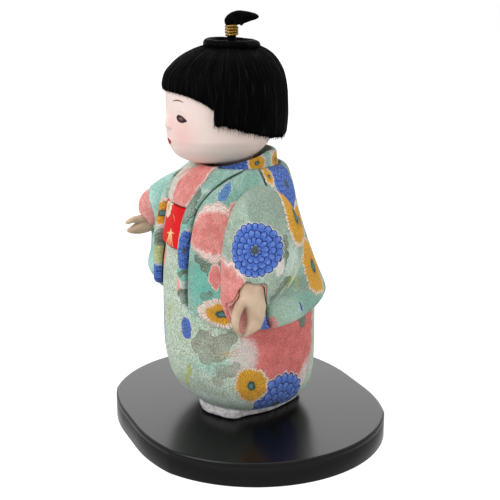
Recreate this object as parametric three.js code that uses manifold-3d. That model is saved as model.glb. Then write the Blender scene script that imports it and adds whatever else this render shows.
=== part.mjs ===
// Child doll in a floral crepe kimono and jacket, on a lacquered stand.
// Millimetres, +Z up, the doll faces -Y and its left hand is on +X.
// The origin is on the floor, under the middle of the stand.
// Heights named below are above the stand's top, unless they say otherwise.
// Angles go round the body in degrees: 0 is the front, 90 the doll's left side, 180 the back.
import * as THREE from 'three';
import * as BufferGeometryUtils from 'three/addons/utils/BufferGeometryUtils.js';
import Module from 'manifold-3d';

const wasm = await Module();
wasm.setup();

// Clearances and cloth
const seatGap = 0.3;
const clothGap = 0.4;
const seamGap = 0.6;
const runningGap = 0.35;
const sweepGap = 0.5;
const skirtThickness = 2.0;
const obiThickness = 1.3;
const collarThickness = 1.7;
const neckBandThickness = 2.0;
const placketProud = 1.0;
const chestPadding = 2.1;
const sleeveGap = 0.7;
const neckBandInset = 0.5;

// Display stand
const standLength = 128.4;
const standDepth = 107.2;
const standThickness = 10.4;
const standEndRadius = 55.2;
const standCornerBlend = 14;
const standEdgeRound = 1.1;

// Pegs
const footPegSpacing = 19.6;
const footPegRadius = 2.0;
const footPegInStand = 6.5;
const footPegInCore = 12;
const neckPegRadius = 3.0;
const neckPegBottom = 84;
const neckPegTop = 120;
const wristPegRadius = 0.8;

// White block under the hem: half of its outline, from the front to the back
const footOutline = [[0, -21.8], [8, -21], [14.5, -18.6], [19.3, -15.2], [17.7, -8], [16, 0],
  [13.6, 9], [10.4, 17], [5.4, 22.4], [0, 24]];
const footHeight = 9;
const footEdgeRound = 0.8;

// Body: cross-sections of the doll under its jacket, as half width, reach to the front, reach to the back
const bodyCentreY = -3.3;
const hemHeight = 4.5;
const waistHeight = 72.5;
const coreTop = 101;
const bodySections = [
  { z: hemHeight, side: 22.5, front: 22.8, back: 23.8 },
  { z: 8, side: 26.3, front: 27.3, back: 26.6 },
  { z: 12, side: 29, front: 30.8, back: 27.8 },
  { z: 18, side: 31.3, front: 33.8, back: 28.3 },
  { z: 30, side: 33, front: 35.8, back: 28.3 },
  { z: 50, side: 33, front: 35.9, back: 28.3 },
  { z: 62, side: 32.5, front: 35.6, back: 26.2 },
  { z: 72, side: 31, front: 34.2, back: 21.8 },
  { z: 82, side: 29.5, front: 32.8, back: 18.4 },
  { z: 90, side: 28.2, front: 31.3, back: 15.8 },
  { z: 97, side: 25.8, front: 28.6, back: 14.9 },
  { z: 102, side: 20.5, front: 23.6, back: 13.9 },
  { z: 106, side: 15.2, front: 18.4, back: 13.0 },
  { z: 109, side: 14.6, front: 17.6, back: 12.7 },
];

// Jacket: its outer face
const jacketTop = 105.2;
const jacketSections = [
  { z: 44, side: 37.7, front: 38.6, back: 34.2 },
  { z: 50, side: 37, front: 38.8, back: 33.5 },
  { z: 60, side: 36, front: 38.7, back: 29.5 },
  { z: 73, side: 34.5, front: 38.3, back: 24.4 },
  { z: 82, side: 33, front: 37, back: 21.2 },
  { z: 91, side: 31, front: 35, back: 18.6 },
  { z: 97, side: 28.5, front: 32, back: 17.8 },
  { z: 101.6, side: 24, front: 27.2, back: 16.9 },
  { z: 106, side: 18.3, front: 21.6, back: 15.8 },
];
const sideSeamAngle = 94;
const jacketHemFront = 54.5;
const jacketHemSide = 45.5;
const jacketHemBack = 50;

// Front edges, as angles at heights
const placketInner = [[50, 20], [60, 19], [75, 19], [84, 19], [90, 20.5], [97, 23.5], [102, 27], [106, 31]];
const placketOuter = [[50, 29], [60, 29], [75, 30], [84, 31], [90, 33], [97, 40], [102, 53], [106, 78]];
const collarEdge = [[88, -24], [92, -22], [97, -15], [102, -5], [106, 6]];
const obiBottom = 73.2;
const obiTop = 90;
const collarTop = 107;
const neckBandAngle = 22;
const neckBandBottom = 101.4;
const neckBandTop = 107.4;

// Sleeves: outlines seen from the side, as places along Y and heights
const leftSleeveOutline = [
  [-7, 102], [-14.5, 98.5], [-20, 90], [-23.3, 79], [-24.8, 66], [-23, 55],
  [-18.5, 47.5], [-12.5, 44.8], [-7, 48], [-4, 57], [3, 63.5], [8.3, 73], [7.5, 87], [1.5, 98],
];
const rightSleeveOutline = [
  [-8, 102], [-18.5, 99.5], [-28, 95], [-33, 88.5], [-33, 81], [-31.2, 75], [-30.2, 69],
  [-30.4, 60], [-31.6, 53], [-27.5, 47], [-20, 44.8], [-9, 47], [1, 55], [7.5, 68], [8.2, 84], [2, 98],
];
const sleeveTopX = 31.5;
const sleeveBottomX = 37.5;
const sleeveHalfThickness = 11;
const liningThickness = 0.9;

// Head, about its own upright line
const headCentreY = -10;
const neckCentreY = -6;
const neckRadius = 8.2;
const neckBottom = 97;
const headSections = [
  { z: 106.0, side: 4, front: 19, back: -7 },
  { z: 106.9, side: 9.5, front: 23.6, back: -2 },
  { z: 108.4, side: 14, front: 27.2, back: 1.8 },
  { z: 111, side: 18, front: 30.4, back: 5.2 },
  { z: 114, side: 20.4, front: 32.5, back: 7.3 },
  { z: 118, side: 21.9, front: 33.6, back: 9.9 },
  { z: 126, side: 22.3, front: 33.7, back: 13.2 },
  { z: 134, side: 21.9, front: 33.8, back: 13.8 },
  { z: 140, side: 20.2, front: 31.8, back: 12.8 },
  { z: 145, side: 16.6, front: 27, back: 10 },
  { z: 148.6, side: 11.5, front: 21, back: 5 },
  { z: 150, side: 5, front: 14.5, back: -4.5 },
];
const noseHeight = 122.6;
const noseReach = 1.9;
const noseWidth = 2.6;
const chinHeight = 110.6;
const chinReach = 0.9;
const lipHeight = 116.2;
const lipReach = 0.7;

// Hair
const hairThickness = 1.9;
const hairTop = 152.9;
const hairSections = [
  { z: 116, side: 23.6, front: 34.6, back: 15.2 },
  { z: 126, side: 24.6, front: 35.4, back: 16.3 },
  { z: 134, side: 24.5, front: 36, back: 16.2 },
  { z: 138, side: 23.9, front: 35.8, back: 15.7 },
  { z: 142, side: 22.7, front: 34.2, back: 14.7 },
  { z: 146, side: 20.5, front: 31, back: 12.9 },
  { z: 149, side: 17.9, front: 27.2, back: 10.6 },
  { z: 151.2, side: 14.6, front: 22.6, back: 7.9 },
  { z: hairTop, side: 10.3, front: 17.4, back: 4.4 },
];
const templeAngle = 55;
const fringeFront = 135.4;
const fringeTemple = 128.5;
const bobTemple = 121.8;
const bobBack = 118.2;

// Rolled ring, binding and topknot
const knotY = -6.6;
const ringRadius = 11.5;
const ringRoll = 1.9;
const ringBottom = 152.3;
const ringDish = 1.1;
const stemRadius = 1.85;
const stemTop = 161;
const bindingRadius = 0.38;
const bindingPitch = 1.2;
const bindingTurns = 2.75;
const bindingBottom = 156.9;

// Ranges that the neckline and the sleeves have to clear
const headTurn = 25;
const thumbOutTurn = 20;
const thumbInTurn = 8;
const rightHandTurn = 20;

const footPegX = footPegSpacing / 2;
const degrees = Math.PI / 180;
const lerp = THREE.MathUtils.lerp;

// Smooth curve through rows of numbers, the first of each row being where it is
function curveThrough(rows) {
  const at = rows.map((row) => row[0]);
  const last = rows.length - 1;
  const slopes = [];
  for (let i = 0; i < last; i += 1) {
    slopes.push(rows[i + 1].slice(1).map((v, k) => (v - rows[i][k + 1]) / (at[i + 1] - at[i])));
  }
  const tangents = rows.map((row, i) => row.slice(1).map((v, k) => {
    if (i === 0) return slopes[0][k];
    if (i === last) return slopes[last - 1][k];
    const a = slopes[i - 1][k];
    const b = slopes[i][k];
    return a * b > 0 ? (2 * a * b) / (a + b) : 0;
  }));
  return (where) => {
    const x = Math.min(Math.max(where, at[0]), at[last]);
    let i = 0;
    while (i < last - 1 && x > at[i + 1]) i += 1;
    const h = at[i + 1] - at[i];
    const t = (x - at[i]) / h;
    return rows[i].slice(1).map((v, k) => {
      const a = (1 + 2 * t) * (1 - t) * (1 - t) * v;
      const b = t * (1 - t) * (1 - t) * h * tangents[i][k];
      const c = t * t * (3 - 2 * t) * rows[i + 1][k + 1];
      const d = t * t * (t - 1) * h * tangents[i + 1][k];
      return a + b + c + d;
    });
  };
}

// A round form given by its cross-sections: point(angle, height, standoff)
function roundForm(sections, centreY, bump = () => 0) {
  const shape = curveThrough(sections.map((s) => [s.z, s.side, s.front, s.back]));
  const skin = (angle, z) => {
    const [side, front, back] = shape(z);
    const c = Math.cos(angle * degrees);
    const reach = (c > 0 ? front + centreY : back - centreY) + bump(angle, z);
    return new THREE.Vector3(side * Math.sin(angle * degrees), centreY - reach * c, z);
  };
  const bottom = sections[0].z;
  const top = sections[sections.length - 1].z;
  const point = (angle, z, standoff = 0) => {
    const p = skin(angle, z);
    if (standoff === 0) return p;
    const around = skin(angle + 0.5, z).sub(skin(angle - 0.5, z));
    const low = Math.max(z - 0.2, bottom);
    const high = Math.min(z + 0.2, top);
    const upward = skin(angle, high).sub(skin(angle, low));
    return p.addScaledVector(around.cross(upward).normalize(), standoff);
  };
  return { point, bottom, top };
}

const body = roundForm(bodySections, bodyCentreY);
const jacket = roundForm(jacketSections, bodyCentreY);
const hair = roundForm(hairSections, headCentreY);
const bell = (x, width) => Math.exp(-(x * x) / (width * width));
const wrapAngle = (angle) => ((angle + 540) % 360) - 180;
function faceRelief(angle, z) {
  const across = wrapAngle(angle) * degrees * 24;
  const nose = noseReach * bell(across, noseWidth) * bell(z - noseHeight, z < noseHeight ? 2 : 4.5);
  const lips = lipReach * bell(across, 3.4) * bell(z - lipHeight, 2.4);
  const chin = chinReach * bell(across, 6) * bell(z - chinHeight, 2.6);
  return nose + lips + chin;
}
const skull = roundForm(headSections, headCentreY, faceRelief);

// Closed mesh from points and faces
function mesh3(points, faces) {
  const geometry = new THREE.BufferGeometry();
  const flat = points.flatMap((p) => [p.x, p.y, p.z]);
  geometry.setAttribute('position', new THREE.Float32BufferAttribute(flat, 3));
  geometry.setIndex(faces.flat());
  return geometry;
}

// Skin over rings of points, all with one count, closed by a fan at each end
function loft(rings) {
  const count = rings[0].length;
  const points = rings.flat();
  const faces = [];
  for (let j = 0; j < rings.length - 1; j += 1) {
    for (let i = 0; i < count; i += 1) {
      const a = j * count + i;
      const b = j * count + ((i + 1) % count);
      faces.push([a, b, b + count], [a, b + count, a + count]);
    }
  }
  const ends = [[0, 1], [rings.length - 1, -1]];
  for (const [j, side] of ends) {
    const middle = rings[j].reduce((sum, p) => sum.add(p), new THREE.Vector3()).divideScalar(count);
    points.push(middle);
    for (let i = 0; i < count; i += 1) {
      const a = j * count + i;
      const b = j * count + ((i + 1) % count);
      faces.push(side > 0 ? [points.length - 1, b, a] : [points.length - 1, a, b]);
    }
  }
  return mesh3(points, faces);
}

// Pad between an inner and an outer sheet of points: at(u, v, outside)
function pad(columns, rows, at) {
  const points = [];
  for (const outside of [false, true]) {
    for (const v of rows) {
      for (const u of columns) points.push(at(u, v, outside));
    }
  }
  const wide = columns.length;
  const half = wide * rows.length;
  const faces = [];
  for (let j = 0; j < rows.length - 1; j += 1) {
    for (let i = 0; i < wide - 1; i += 1) {
      const a = j * wide + i;
      faces.push([a, a + wide + 1, a + 1], [a, a + wide, a + wide + 1]);
      faces.push([half + a, half + a + 1, half + a + wide + 1]);
      faces.push([half + a, half + a + wide + 1, half + a + wide]);
    }
  }
  const rim = [];
  for (let i = 0; i < wide - 1; i += 1) rim.push(i);
  for (let j = 0; j < rows.length - 1; j += 1) rim.push(j * wide + wide - 1);
  for (let i = wide - 1; i > 0; i -= 1) rim.push((rows.length - 1) * wide + i);
  for (let j = rows.length - 1; j > 0; j -= 1) rim.push(j * wide);
  rim.forEach((a, k) => {
    const b = rim[(k + 1) % rim.length];
    faces.push([a, b, half + b], [a, half + b, half + a]);
  });
  return mesh3(points, faces);
}

// Even steps from 0 to 1, with one more near each end for a rounded edge
function steps(count, edge = 0.06) {
  const inner = Array.from({ length: count + 1 }, (_, i) => i / count);
  return [0, edge, ...inner.slice(1, -1), 1 - edge, 1];
}

// Full between the edges, and drawn down towards them
function drawnEdge(t, edge = 0.06, low = 0.35) {
  const near = Math.min(t, 1 - t) / edge;
  return near >= 1 ? 1 : low + (1 - low) * near;
}

// Solids for cutting and joining
function toSolid(geometry) {
  const bare = geometry.clone();
  bare.deleteAttribute('normal');
  bare.deleteAttribute('uv');
  const merged = BufferGeometryUtils.mergeVertices(bare, 1e-4);
  return new wasm.Manifold(new wasm.Mesh({
    numProp: 3,
    vertProperties: new Float32Array(merged.attributes.position.array),
    triVerts: new Uint32Array(merged.index.array),
  }));
}

// Points closer than this become one after a cut
const weld = 0.02;

function toGeometry(solid) {
  const { vertProperties, triVerts } = solid.getMesh();
  const geometry = new THREE.BufferGeometry();
  geometry.setAttribute('position', new THREE.BufferAttribute(new Float32Array(vertProperties), 3));
  geometry.setIndex(new THREE.BufferAttribute(new Uint32Array(triVerts), 1));
  const welded = BufferGeometryUtils.mergeVertices(geometry, weld);
  const all = Array.from(welded.index.array);
  const kept = [];
  for (let i = 0; i < all.length; i += 3) {
    const [a, b, c] = all.slice(i, i + 3);
    if (a !== b && b !== c && c !== a) kept.push(a, b, c);
  }
  welded.setIndex(kept);
  return welded;
}

function cut(geometry, ...tools) {
  let solid = toSolid(geometry);
  for (const tool of tools) solid = solid.subtract(toSolid(tool));
  return toGeometry(solid);
}

function join(geometry, ...others) {
  let solid = toSolid(geometry);
  for (const other of others) solid = solid.add(toSolid(other));
  return toGeometry(solid);
}

function common(geometry, other) {
  return toGeometry(toSolid(geometry).intersect(toSolid(other)));
}

// Round bar between two points
function bar(from, to, radius, sides = 20) {
  const length = from.distanceTo(to);
  const geometry = new THREE.CylinderGeometry(radius, radius, length, sides);
  const turn = new THREE.Quaternion().setFromUnitVectors(
    new THREE.Vector3(0, 1, 0),
    to.clone().sub(from).normalize(),
  );
  geometry.applyQuaternion(turn);
  const middle = from.clone().add(to).multiplyScalar(0.5);
  return geometry.translate(middle.x, middle.y, middle.z);
}

// Limb through stations of a place, a direction across, and two half sizes
function limb(stations, sides = 10) {
  const rings = stations.map(({ at, across, up, wide, tall }) => {
    const ring = [];
    for (let i = 0; i < sides; i += 1) {
      const t = (i / sides) * 2 * Math.PI;
      ring.push(at.clone()
        .addScaledVector(across, wide * Math.cos(t))
        .addScaledVector(up, tall * Math.sin(t)));
    }
    return ring;
  });
  return loft(rings);
}

const v3 = (x, y, z) => new THREE.Vector3(x, y, z);
const axisX = v3(1, 0, 0);
const axisY = v3(0, 1, 0);
const axisZ = v3(0, 0, 1);

// Level ring of points on a round form
function formRing(form, z, standoff, sides) {
  const ring = [];
  for (let i = 0; i < sides; i += 1) ring.push(form.point((i / sides) * 360, z, standoff).setZ(z));
  return ring;
}

// Closed solid of a round form through the given heights
function formStack(form, levels, standoff, sides) {
  return loft(levels.map((z) => formRing(form, z, standoff, sides)));
}

function formSolid(form, low, high, standoff, sides, tiers) {
  const levels = Array.from({ length: tiers + 1 }, (_, j) => lerp(low, high, j / tiers));
  return formStack(form, levels, standoff, sides);
}

const rowEdge = 0.05;
const jacketRows = 12;
const bodySides = 30;
const skirtLevels = [hemHeight, 6, 9, 13, 20, 32, 48, 60, waistHeight];

// Piece of cloth on a form, between two side angles and two heights
function clothPanel(o) {
  const columns = steps(o.columns, o.edge);
  const rows = steps(o.rows, rowEdge);
  return pad(columns, rows, (u, v, outside) => {
    let z = lerp(o.low(0), o.high(0), v);
    let angle = 0;
    for (let k = 0; k < 6; k += 1) {
      angle = lerp(o.left(z), o.right(z), u);
      z = lerp(o.low(angle), o.high(angle), v);
    }
    if (!outside) return o.inner(angle, z);
    const rounding = Math.min(drawnEdge(u, o.edge), drawnEdge(v, rowEdge));
    const low = o.inner(angle, z);
    return low.lerp(o.outer(angle, z), rounding);
  });
}

const always = (value) => () => value;
const byHeight = (rows) => {
  const curve = curveThrough(rows);
  return (z) => curve(z)[0];
};
const placketInnerAngle = byHeight(placketInner);
const placketOuterAngle = byHeight(placketOuter);
const collarEdgeAngle = byHeight(collarEdge);
const jacketReach = byHeight(jacketSections.map((s) => [s.z, s.side]));
const angleFor = (length, z) => length / (jacketReach(z) * degrees);
const onBody = (angle, z) => body.point(angle, z, clothGap);

function jacketHem(angle) {
  const t = Math.abs(wrapAngle(angle));
  if (t < 60) return lerp(jacketHemSide, jacketHemFront, Math.max(0, (60 - t) / 38) ** 1.6);
  return lerp(jacketHemSide, jacketHemBack, THREE.MathUtils.smoothstep(t, 85, 150));
}

// Each sub-part is built by a function of its own

function standOutline(inset) {
  const reach = standLength / 2 - inset;
  const radius = standEndRadius - inset;
  const centre = reach - radius;
  const depth = standDepth / 2 - inset;
  const meet = Math.asin(Math.min(0.999, depth / radius));
  const blend = standCornerBlend / radius;
  const shape = new THREE.Shape();
  const corner = centre + radius * Math.cos(meet);
  const near = meet - blend;
  shape.moveTo(-corner + standCornerBlend, -depth);
  shape.lineTo(corner - standCornerBlend, -depth);
  shape.quadraticCurveTo(corner, -depth, centre + radius * Math.cos(near), -radius * Math.sin(near));
  shape.absarc(centre, 0, radius, -near, near, false);
  shape.quadraticCurveTo(corner, depth, corner - standCornerBlend, depth);
  shape.lineTo(-corner + standCornerBlend, depth);
  shape.quadraticCurveTo(-corner, depth, -centre - radius * Math.cos(near), radius * Math.sin(near));
  shape.absarc(-centre, 0, radius, Math.PI - near, Math.PI + near, false);
  shape.quadraticCurveTo(-corner, -depth, -corner + standCornerBlend, -depth);
  return shape.getPoints(8).slice(0, -1);
}

function displayStand() {
  const levels = [
    [0, standEdgeRound * 0.5], [standEdgeRound * 0.5, 0], [standThickness - standEdgeRound, 0],
    [standThickness - standEdgeRound * 0.35, standEdgeRound * 0.4], [standThickness, standEdgeRound],
  ];
  const rings = levels.map(([z, inset]) => standOutline(inset).map((p) => v3(p.x, p.y, z)));
  let slab = loft(rings);
  for (const side of [-1, 1]) {
    const floor = standThickness - footPegInStand - seatGap;
    const x = side * footPegX;
    slab = cut(slab, bar(v3(x, 0, floor), v3(x, 0, standThickness + 1), footPegRadius + seatGap));
  }
  return slab;
}

function standPeg(side) {
  const x = side * footPegX;
  return bar(v3(x, 0, -footPegInStand), v3(x, 0, hemHeight + footPegInCore), footPegRadius);
}

function footBlock() {
  const half = footOutline.map(([x, y]) => v3(x, y, 0));
  const other = footOutline.slice(1, -1).reverse().map(([x, y]) => v3(-x, y, 0));
  const outline = [...half, ...other];
  const levels = [[seatGap, footEdgeRound], [seatGap + footEdgeRound, 0], [footHeight, 0]];
  const rings = levels.map(([z, inset]) => outline.map((p) => {
    const q = p.clone().multiplyScalar(1 - inset / 20);
    return q.setZ(z);
  }));
  let block = cut(loft(rings), formSolid(body, hemHeight, 20, clothGap, 30, 6));
  for (const side of [-1, 1]) {
    const x = side * footPegX;
    block = cut(block, bar(v3(x, 0, -2), v3(x, 0, footHeight + 4), footPegRadius + seatGap));
  }
  return block;
}

function bodyCore() {
  const inset = -skirtThickness - clothGap;
  const lower = formStack(body, [...skirtLevels, waistHeight + clothGap + 1], inset, bodySides);
  const upper = formStack(body, [waistHeight + clothGap, 80, 87, 93, 97, coreTop], -chestPadding, bodySides);
  const bores = [];
  for (const side of [-1, 1]) {
    const x = side * footPegX;
    bores.push(bar(v3(x, 0, 0), v3(x, 0, hemHeight + footPegInCore + seatGap), footPegRadius + seatGap));
  }
  bores.push(bar(v3(0, neckCentreY, neckPegBottom - seatGap), v3(0, neckCentreY, coreTop + 1),
    neckPegRadius + seatGap));
  bores.push(bar(v3(0, neckCentreY, neckBottom - sweepGap), v3(0, neckCentreY, coreTop + 1),
    neckRadius + sweepGap, 28));
  return cut(join(lower, upper), ...bores);
}

function kimonoSkirt() {
  const sides = bodySides;
  const outer = skirtLevels.map((z) => formRing(body, z, 0, sides));
  const inner = skirtLevels.map((z) => formRing(body, z, -skirtThickness, sides)).reverse();
  const rings = [...outer, ...inner];
  const points = rings.flat();
  const faces = [];
  for (let j = 0; j < rings.length; j += 1) {
    const next = (j + 1) % rings.length;
    for (let i = 0; i < sides; i += 1) {
      const k = (i + 1) % sides;
      faces.push([j * sides + i, j * sides + k, next * sides + k]);
      faces.push([j * sides + i, next * sides + k, next * sides + i]);
    }
  }
  return mesh3(points, faces);
}

function obiSash() {
  return clothPanel({
    columns: 6,
    rows: 4,
    edge: 0.05,
    left: (z) => -placketInnerAngle(z) + angleFor(clothGap, z),
    right: (z) => placketInnerAngle(z) - angleFor(clothGap, z),
    low: always(obiBottom),
    high: always(obiTop),
    inner: onBody,
    outer: (angle, z) => body.point(angle, z, clothGap + obiThickness),
  });
}

function neckSweep(standoff) {
  const base = formSolid(skull, skull.bottom, 118, standoff, 24, 7);
  const neck = v3(0, neckCentreY, 0);
  const copies = [];
  for (const turn of [-1, 1]) {
    const copy = base.clone().translate(-neck.x, -neck.y, 0);
    copies.push(copy.rotateZ(turn * headTurn * degrees).translate(neck.x, neck.y, 0));
  }
  return join(base, ...copies).translate(0, 0, -standoff);
}
const headRoom = neckSweep(sweepGap);

function kimonoCollar(side) {
  const over = side > 0;
  const seam = (z) => -placketInnerAngle(z) + angleFor(clothGap, z);
  const left = over ? (z) => Math.max(collarEdgeAngle(z), seam(z)) : seam;
  const right = over ? (z) => -seam(z) : (z) => collarEdgeAngle(z) - angleFor(clothGap, z);
  const panel = clothPanel({
    columns: 5,
    rows: 6,
    edge: 0.08,
    left,
    right,
    low: always(over ? obiTop + clothGap : 93.2),
    high: always(collarTop),
    inner: onBody,
    outer: (angle, z) => body.point(angle, z, clothGap + collarThickness),
  });
  return cut(panel, headRoom);
}

function jacketPlacket(side) {
  const panel = clothPanel({
    columns: 4,
    rows: jacketRows,
    edge: 0.16,
    left: placketInnerAngle,
    right: placketOuterAngle,
    low: jacketHem,
    high: always(jacketTop),
    inner: onBody,
    outer: (angle, z) => jacket.point(angle, z, placketProud),
  });
  const shape = cut(panel, headRoom);
  return side > 0 ? shape : flipped(shape);
}

// The same shape on the doll's right side
function flipped(geometry) {
  const copy = geometry.clone();
  copy.scale(-1, 1, 1);
  const index = copy.index.array;
  for (let i = 0; i < index.length; i += 3) {
    const keep = index[i];
    index[i] = index[i + 1];
    index[i + 1] = keep;
  }
  return copy;
}

function jacketFront(side) {
  const panel = clothPanel({
    columns: 6,
    rows: jacketRows,
    edge: 0.05,
    left: (z) => placketOuterAngle(z) + angleFor(seamGap, z),
    right: (z) => sideSeamAngle - angleFor(clothGap, z),
    low: jacketHem,
    high: always(jacketTop),
    inner: onBody,
    outer: jacket.point,
  });
  const shape = cut(panel, headRoom);
  return side > 0 ? shape : flipped(shape);
}

function jacketBack() {
  const panel = clothPanel({
    columns: 15,
    rows: 8,
    edge: 0.03,
    left: always(sideSeamAngle),
    right: always(360 - sideSeamAngle),
    low: jacketHem,
    high: always(jacketTop),
    inner: onBody,
    outer: jacket.point,
  });
  return panel;
}

function neckBand() {
  const panel = clothPanel({
    columns: 16,
    rows: 2,
    edge: 0.1,
    left: always(neckBandAngle),
    right: always(360 - neckBandAngle),
    low: always(neckBandBottom),
    high: always(neckBandTop),
    inner: (angle, z) => body.point(angle, z, -neckBandInset - neckBandThickness).setZ(z),
    outer: (angle, z) => body.point(angle, z, -neckBandInset),
  });
  return cut(panel, headRoom);
}

// Sleeves
const jacketRoom = formSolid(jacket, 40, jacketTop, sleeveGap, 32, 10);

function sleevePillow(outline, standoff = 0) {
  const curve = new THREE.CatmullRomCurve3(outline.map(([y, z]) => v3(0, y, z)), true, 'centripetal');
  const around = 20;
  const rim = curve.getSpacedPoints(around).slice(0, -1);
  const middle = rim.reduce((sum, p) => sum.add(p), v3(0, 0, 0)).divideScalar(around);
  const tiers = 8;
  const rings = [];
  for (let j = 0; j <= tiers; j += 1) {
    const t = Math.PI * (0.04 + 0.92 * (j / tiers));
    const spread = Math.sin(t) ** 0.75;
    const lift = Math.sign(Math.cos(t)) * Math.abs(Math.cos(t)) ** 0.8;
    const ring = rim.map((p) => {
      const q = middle.clone().lerp(p, spread);
      const away = p.clone().sub(middle).normalize();
      q.addScaledVector(away, standoff * spread);
      const x = lerp(sleeveBottomX, sleeveTopX, (q.z - 45) / 57);
      return v3(x - (sleeveHalfThickness + standoff) * lift, q.y, q.z);
    });
    rings.push(ring);
  }
  return loft(rings);
}

function ellipsoid(centre, radii, sides = 18) {
  const ball = new THREE.SphereGeometry(1, sides, sides / 2);
  return ball.scale(radii.x, radii.y, radii.z).translate(centre.x, centre.y, centre.z);
}

// The left cuff is a recess in its sleeve, the right one a pad in the sleeve's end
const cuffs = {
  left: { centre: v3(45.4, -19.3, 52.5), radii: v3(8.8, 10.6, 13.8) },
  right: { centre: v3(-35.2, -28.8, 81), radii: v3(6.6, 7.2, 8.4) },
};

function leftHandShape(standoff = 0) {
  const palm = [
    [75, -14.6, 39.2, 2.6, 2.2], [70.5, -14.9, 39.8, 3.6, 2.8], [66, -15.3, 40.6, 4.8, 3.1],
    [60.2, -15.7, 42, 5.4, 2.8], [56.6, -14.5, 42.6, 3.9, 2.5], [52.6, -14.6, 43, 3.3, 2.2],
    [49.6, -15.6, 42.9, 2.7, 1.9], [47.8, -17.4, 42.7, 1.7, 1.4], [46.5, -19.4, 42.6, 0.6, 0.6],
  ];
  const main = limb(palm.map(([z, y, x, wide, thick]) => ({
    at: v3(x, y, z), across: axisY, up: axisX, wide: wide + standoff, tall: thick + standoff,
  })));
  const thumb = limb([
    [62.1, -18, 42.7, 2.6], [58.6, -20.3, 42.9, 2.2], [55.6, -22.1, 43.1, 1.8],
    [53.2, -23.3, 43.2, 1.4], [51.6, -24.1, 43.2, 0.6],
  ].map(([z, y, x, size]) => ({
    at: v3(x, y, z), across: axisY, up: axisX, wide: size + standoff, tall: size + standoff,
  })), 8);
  return join(main, thumb);
}

function rightHandShape(standoff = 0) {
  const palm = [
    [-20, 75.6, -37, 2.0, 2.0], [-26, 74.8, -37, 3.0, 2.8], [-31.5, 73.4, -37, 3.8, 3.0],
    [-35, 72.3, -37, 3.2, 2.8], [-38, 71.4, -37, 2.1, 2.2], [-40, 71, -37, 1.2, 1.5],
    [-41.2, 70.9, -37, 0.5, 0.6],
  ];
  const main = limb(palm.map(([y, z, x, tall, wide]) => ({
    at: v3(x, y, z), across: axisX, up: axisZ, wide: wide + standoff, tall: tall + standoff,
  })));
  const thumb = limb([
    [-31, 75, -36, 1.9], [-35, 76.1, -35.6, 1.7], [-38.5, 76, -35.6, 1.4],
    [-41, 75.2, -35.8, 1.0], [-42.2, 74.8, -35.9, 0.5],
  ].map(([y, z, x, size]) => ({
    at: v3(x, y, z), across: axisX, up: axisZ, wide: size + standoff, tall: size + standoff,
  })), 8);
  return join(main, thumb);
}


const wristPegs = {
  left: { from: v3(37.2, -13.6, 88), to: v3(40.3, -15.1, 67) },
  right: { from: v3(-37, -10, 77.4), to: v3(-37, -29, 74.2) },
};

function handShape(name, standoff) {
  return name === 'left' ? leftHandShape(standoff) : rightHandShape(standoff);
}

// Space that a hand needs from one end of its range to the other
function handRoom(name) {
  const { from, to } = wristPegs[name];
  const axis = to.clone().sub(from).normalize();
  const range = name === 'left' ? [-thumbInTurn, thumbOutTurn] : [-rightHandTurn, rightHandTurn];
  const base = handShape(name, sweepGap);
  const copies = range.map((angle) => {
    const turn = new THREE.Quaternion().setFromAxisAngle(axis, -angle * degrees);
    const copy = base.clone().translate(-from.x, -from.y, -from.z).applyQuaternion(turn);
    return copy.translate(from.x, from.y, from.z);
  });
  return join(base, ...copies);
}

function wristBore(name, extra) {
  const peg = wristPegs[name];
  return bar(peg.from, peg.to, wristPegRadius + extra, 12);
}

function sleeve(name) {
  const left = name === 'left';
  const pillow = sleevePillow(left ? leftSleeveOutline : rightSleeveOutline);
  const placed = left ? pillow : flipped(pillow);
  const { centre, radii } = cuffs[name];
  const cuffRoom = ellipsoid(centre, radii.clone().addScalar(seatGap));
  return cut(placed, jacketRoom, cuffRoom, handRoom(name), wristBore(name, runningGap));
}

// Thin dish on the walls of the left cuff
function leftSleeveLining() {
  const { centre, radii } = cuffs.left;
  const face = radii.clone().subScalar(liningThickness);
  const dish = cut(ellipsoid(centre, radii), ellipsoid(centre, face));
  const pillow = sleevePillow(leftSleeveOutline, -0.2);
  return cut(common(dish, pillow), handRoom('left'), jacketRoom);
}

function rightSleeveLining() {
  const { centre, radii } = cuffs.right;
  return cut(ellipsoid(centre, radii), handRoom('right'), wristBore('right', runningGap));
}

function hand(name) {
  return cut(handShape(name, 0), wristBore(name, seatGap));
}

function headShape() {
  const frontAngles = [0, 5, 10, 16, 24, 34, 46, 60, 76, 94, 114, 136, 158];
  const angles = [...frontAngles, 180, ...frontAngles.slice(1).reverse().map((a) => 360 - a)];
  const heights = [106, 106.9, 108.4, 110.4, 112.5, 114.8, 117.2, 119.8, 121.4, 122.8, 125, 129, 134, 140, 145, 148.6, 150];
  const rings = heights.map((z) => angles.map((a) => skull.point(a, z)));
  const neck = bar(v3(0, neckCentreY, neckBottom), v3(0, neckCentreY, 112), neckRadius, 28);
  const bore = bar(v3(0, neckCentreY, neckBottom - 1), v3(0, neckCentreY, neckPegTop + seatGap),
    neckPegRadius + runningGap);
  return cut(join(loft(rings), neck), bore);
}

function neckPeg() {
  return bar(v3(0, neckCentreY, neckPegBottom), v3(0, neckCentreY, neckPegTop), neckPegRadius);
}

const scalp = (angle, z) => hair.point(angle, z, -hairThickness);

function bobHem(angle) {
  const t = Math.abs(wrapAngle(angle));
  return lerp(bobTemple, bobBack, THREE.MathUtils.smoothstep(t, templeAngle, 150));
}

function fringeHem(angle) {
  const t = Math.min(1, Math.abs(wrapAngle(angle)) / templeAngle);
  return lerp(fringeFront, fringeTemple, t * t);
}

function hairBob() {
  return clothPanel({
    columns: 16,
    rows: 8,
    edge: 0.03,
    left: always(templeAngle + 0.5),
    right: always(360 - templeAngle - 0.5),
    low: bobHem,
    high: always(hairTop),
    inner: scalp,
    outer: hair.point,
  });
}

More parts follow.
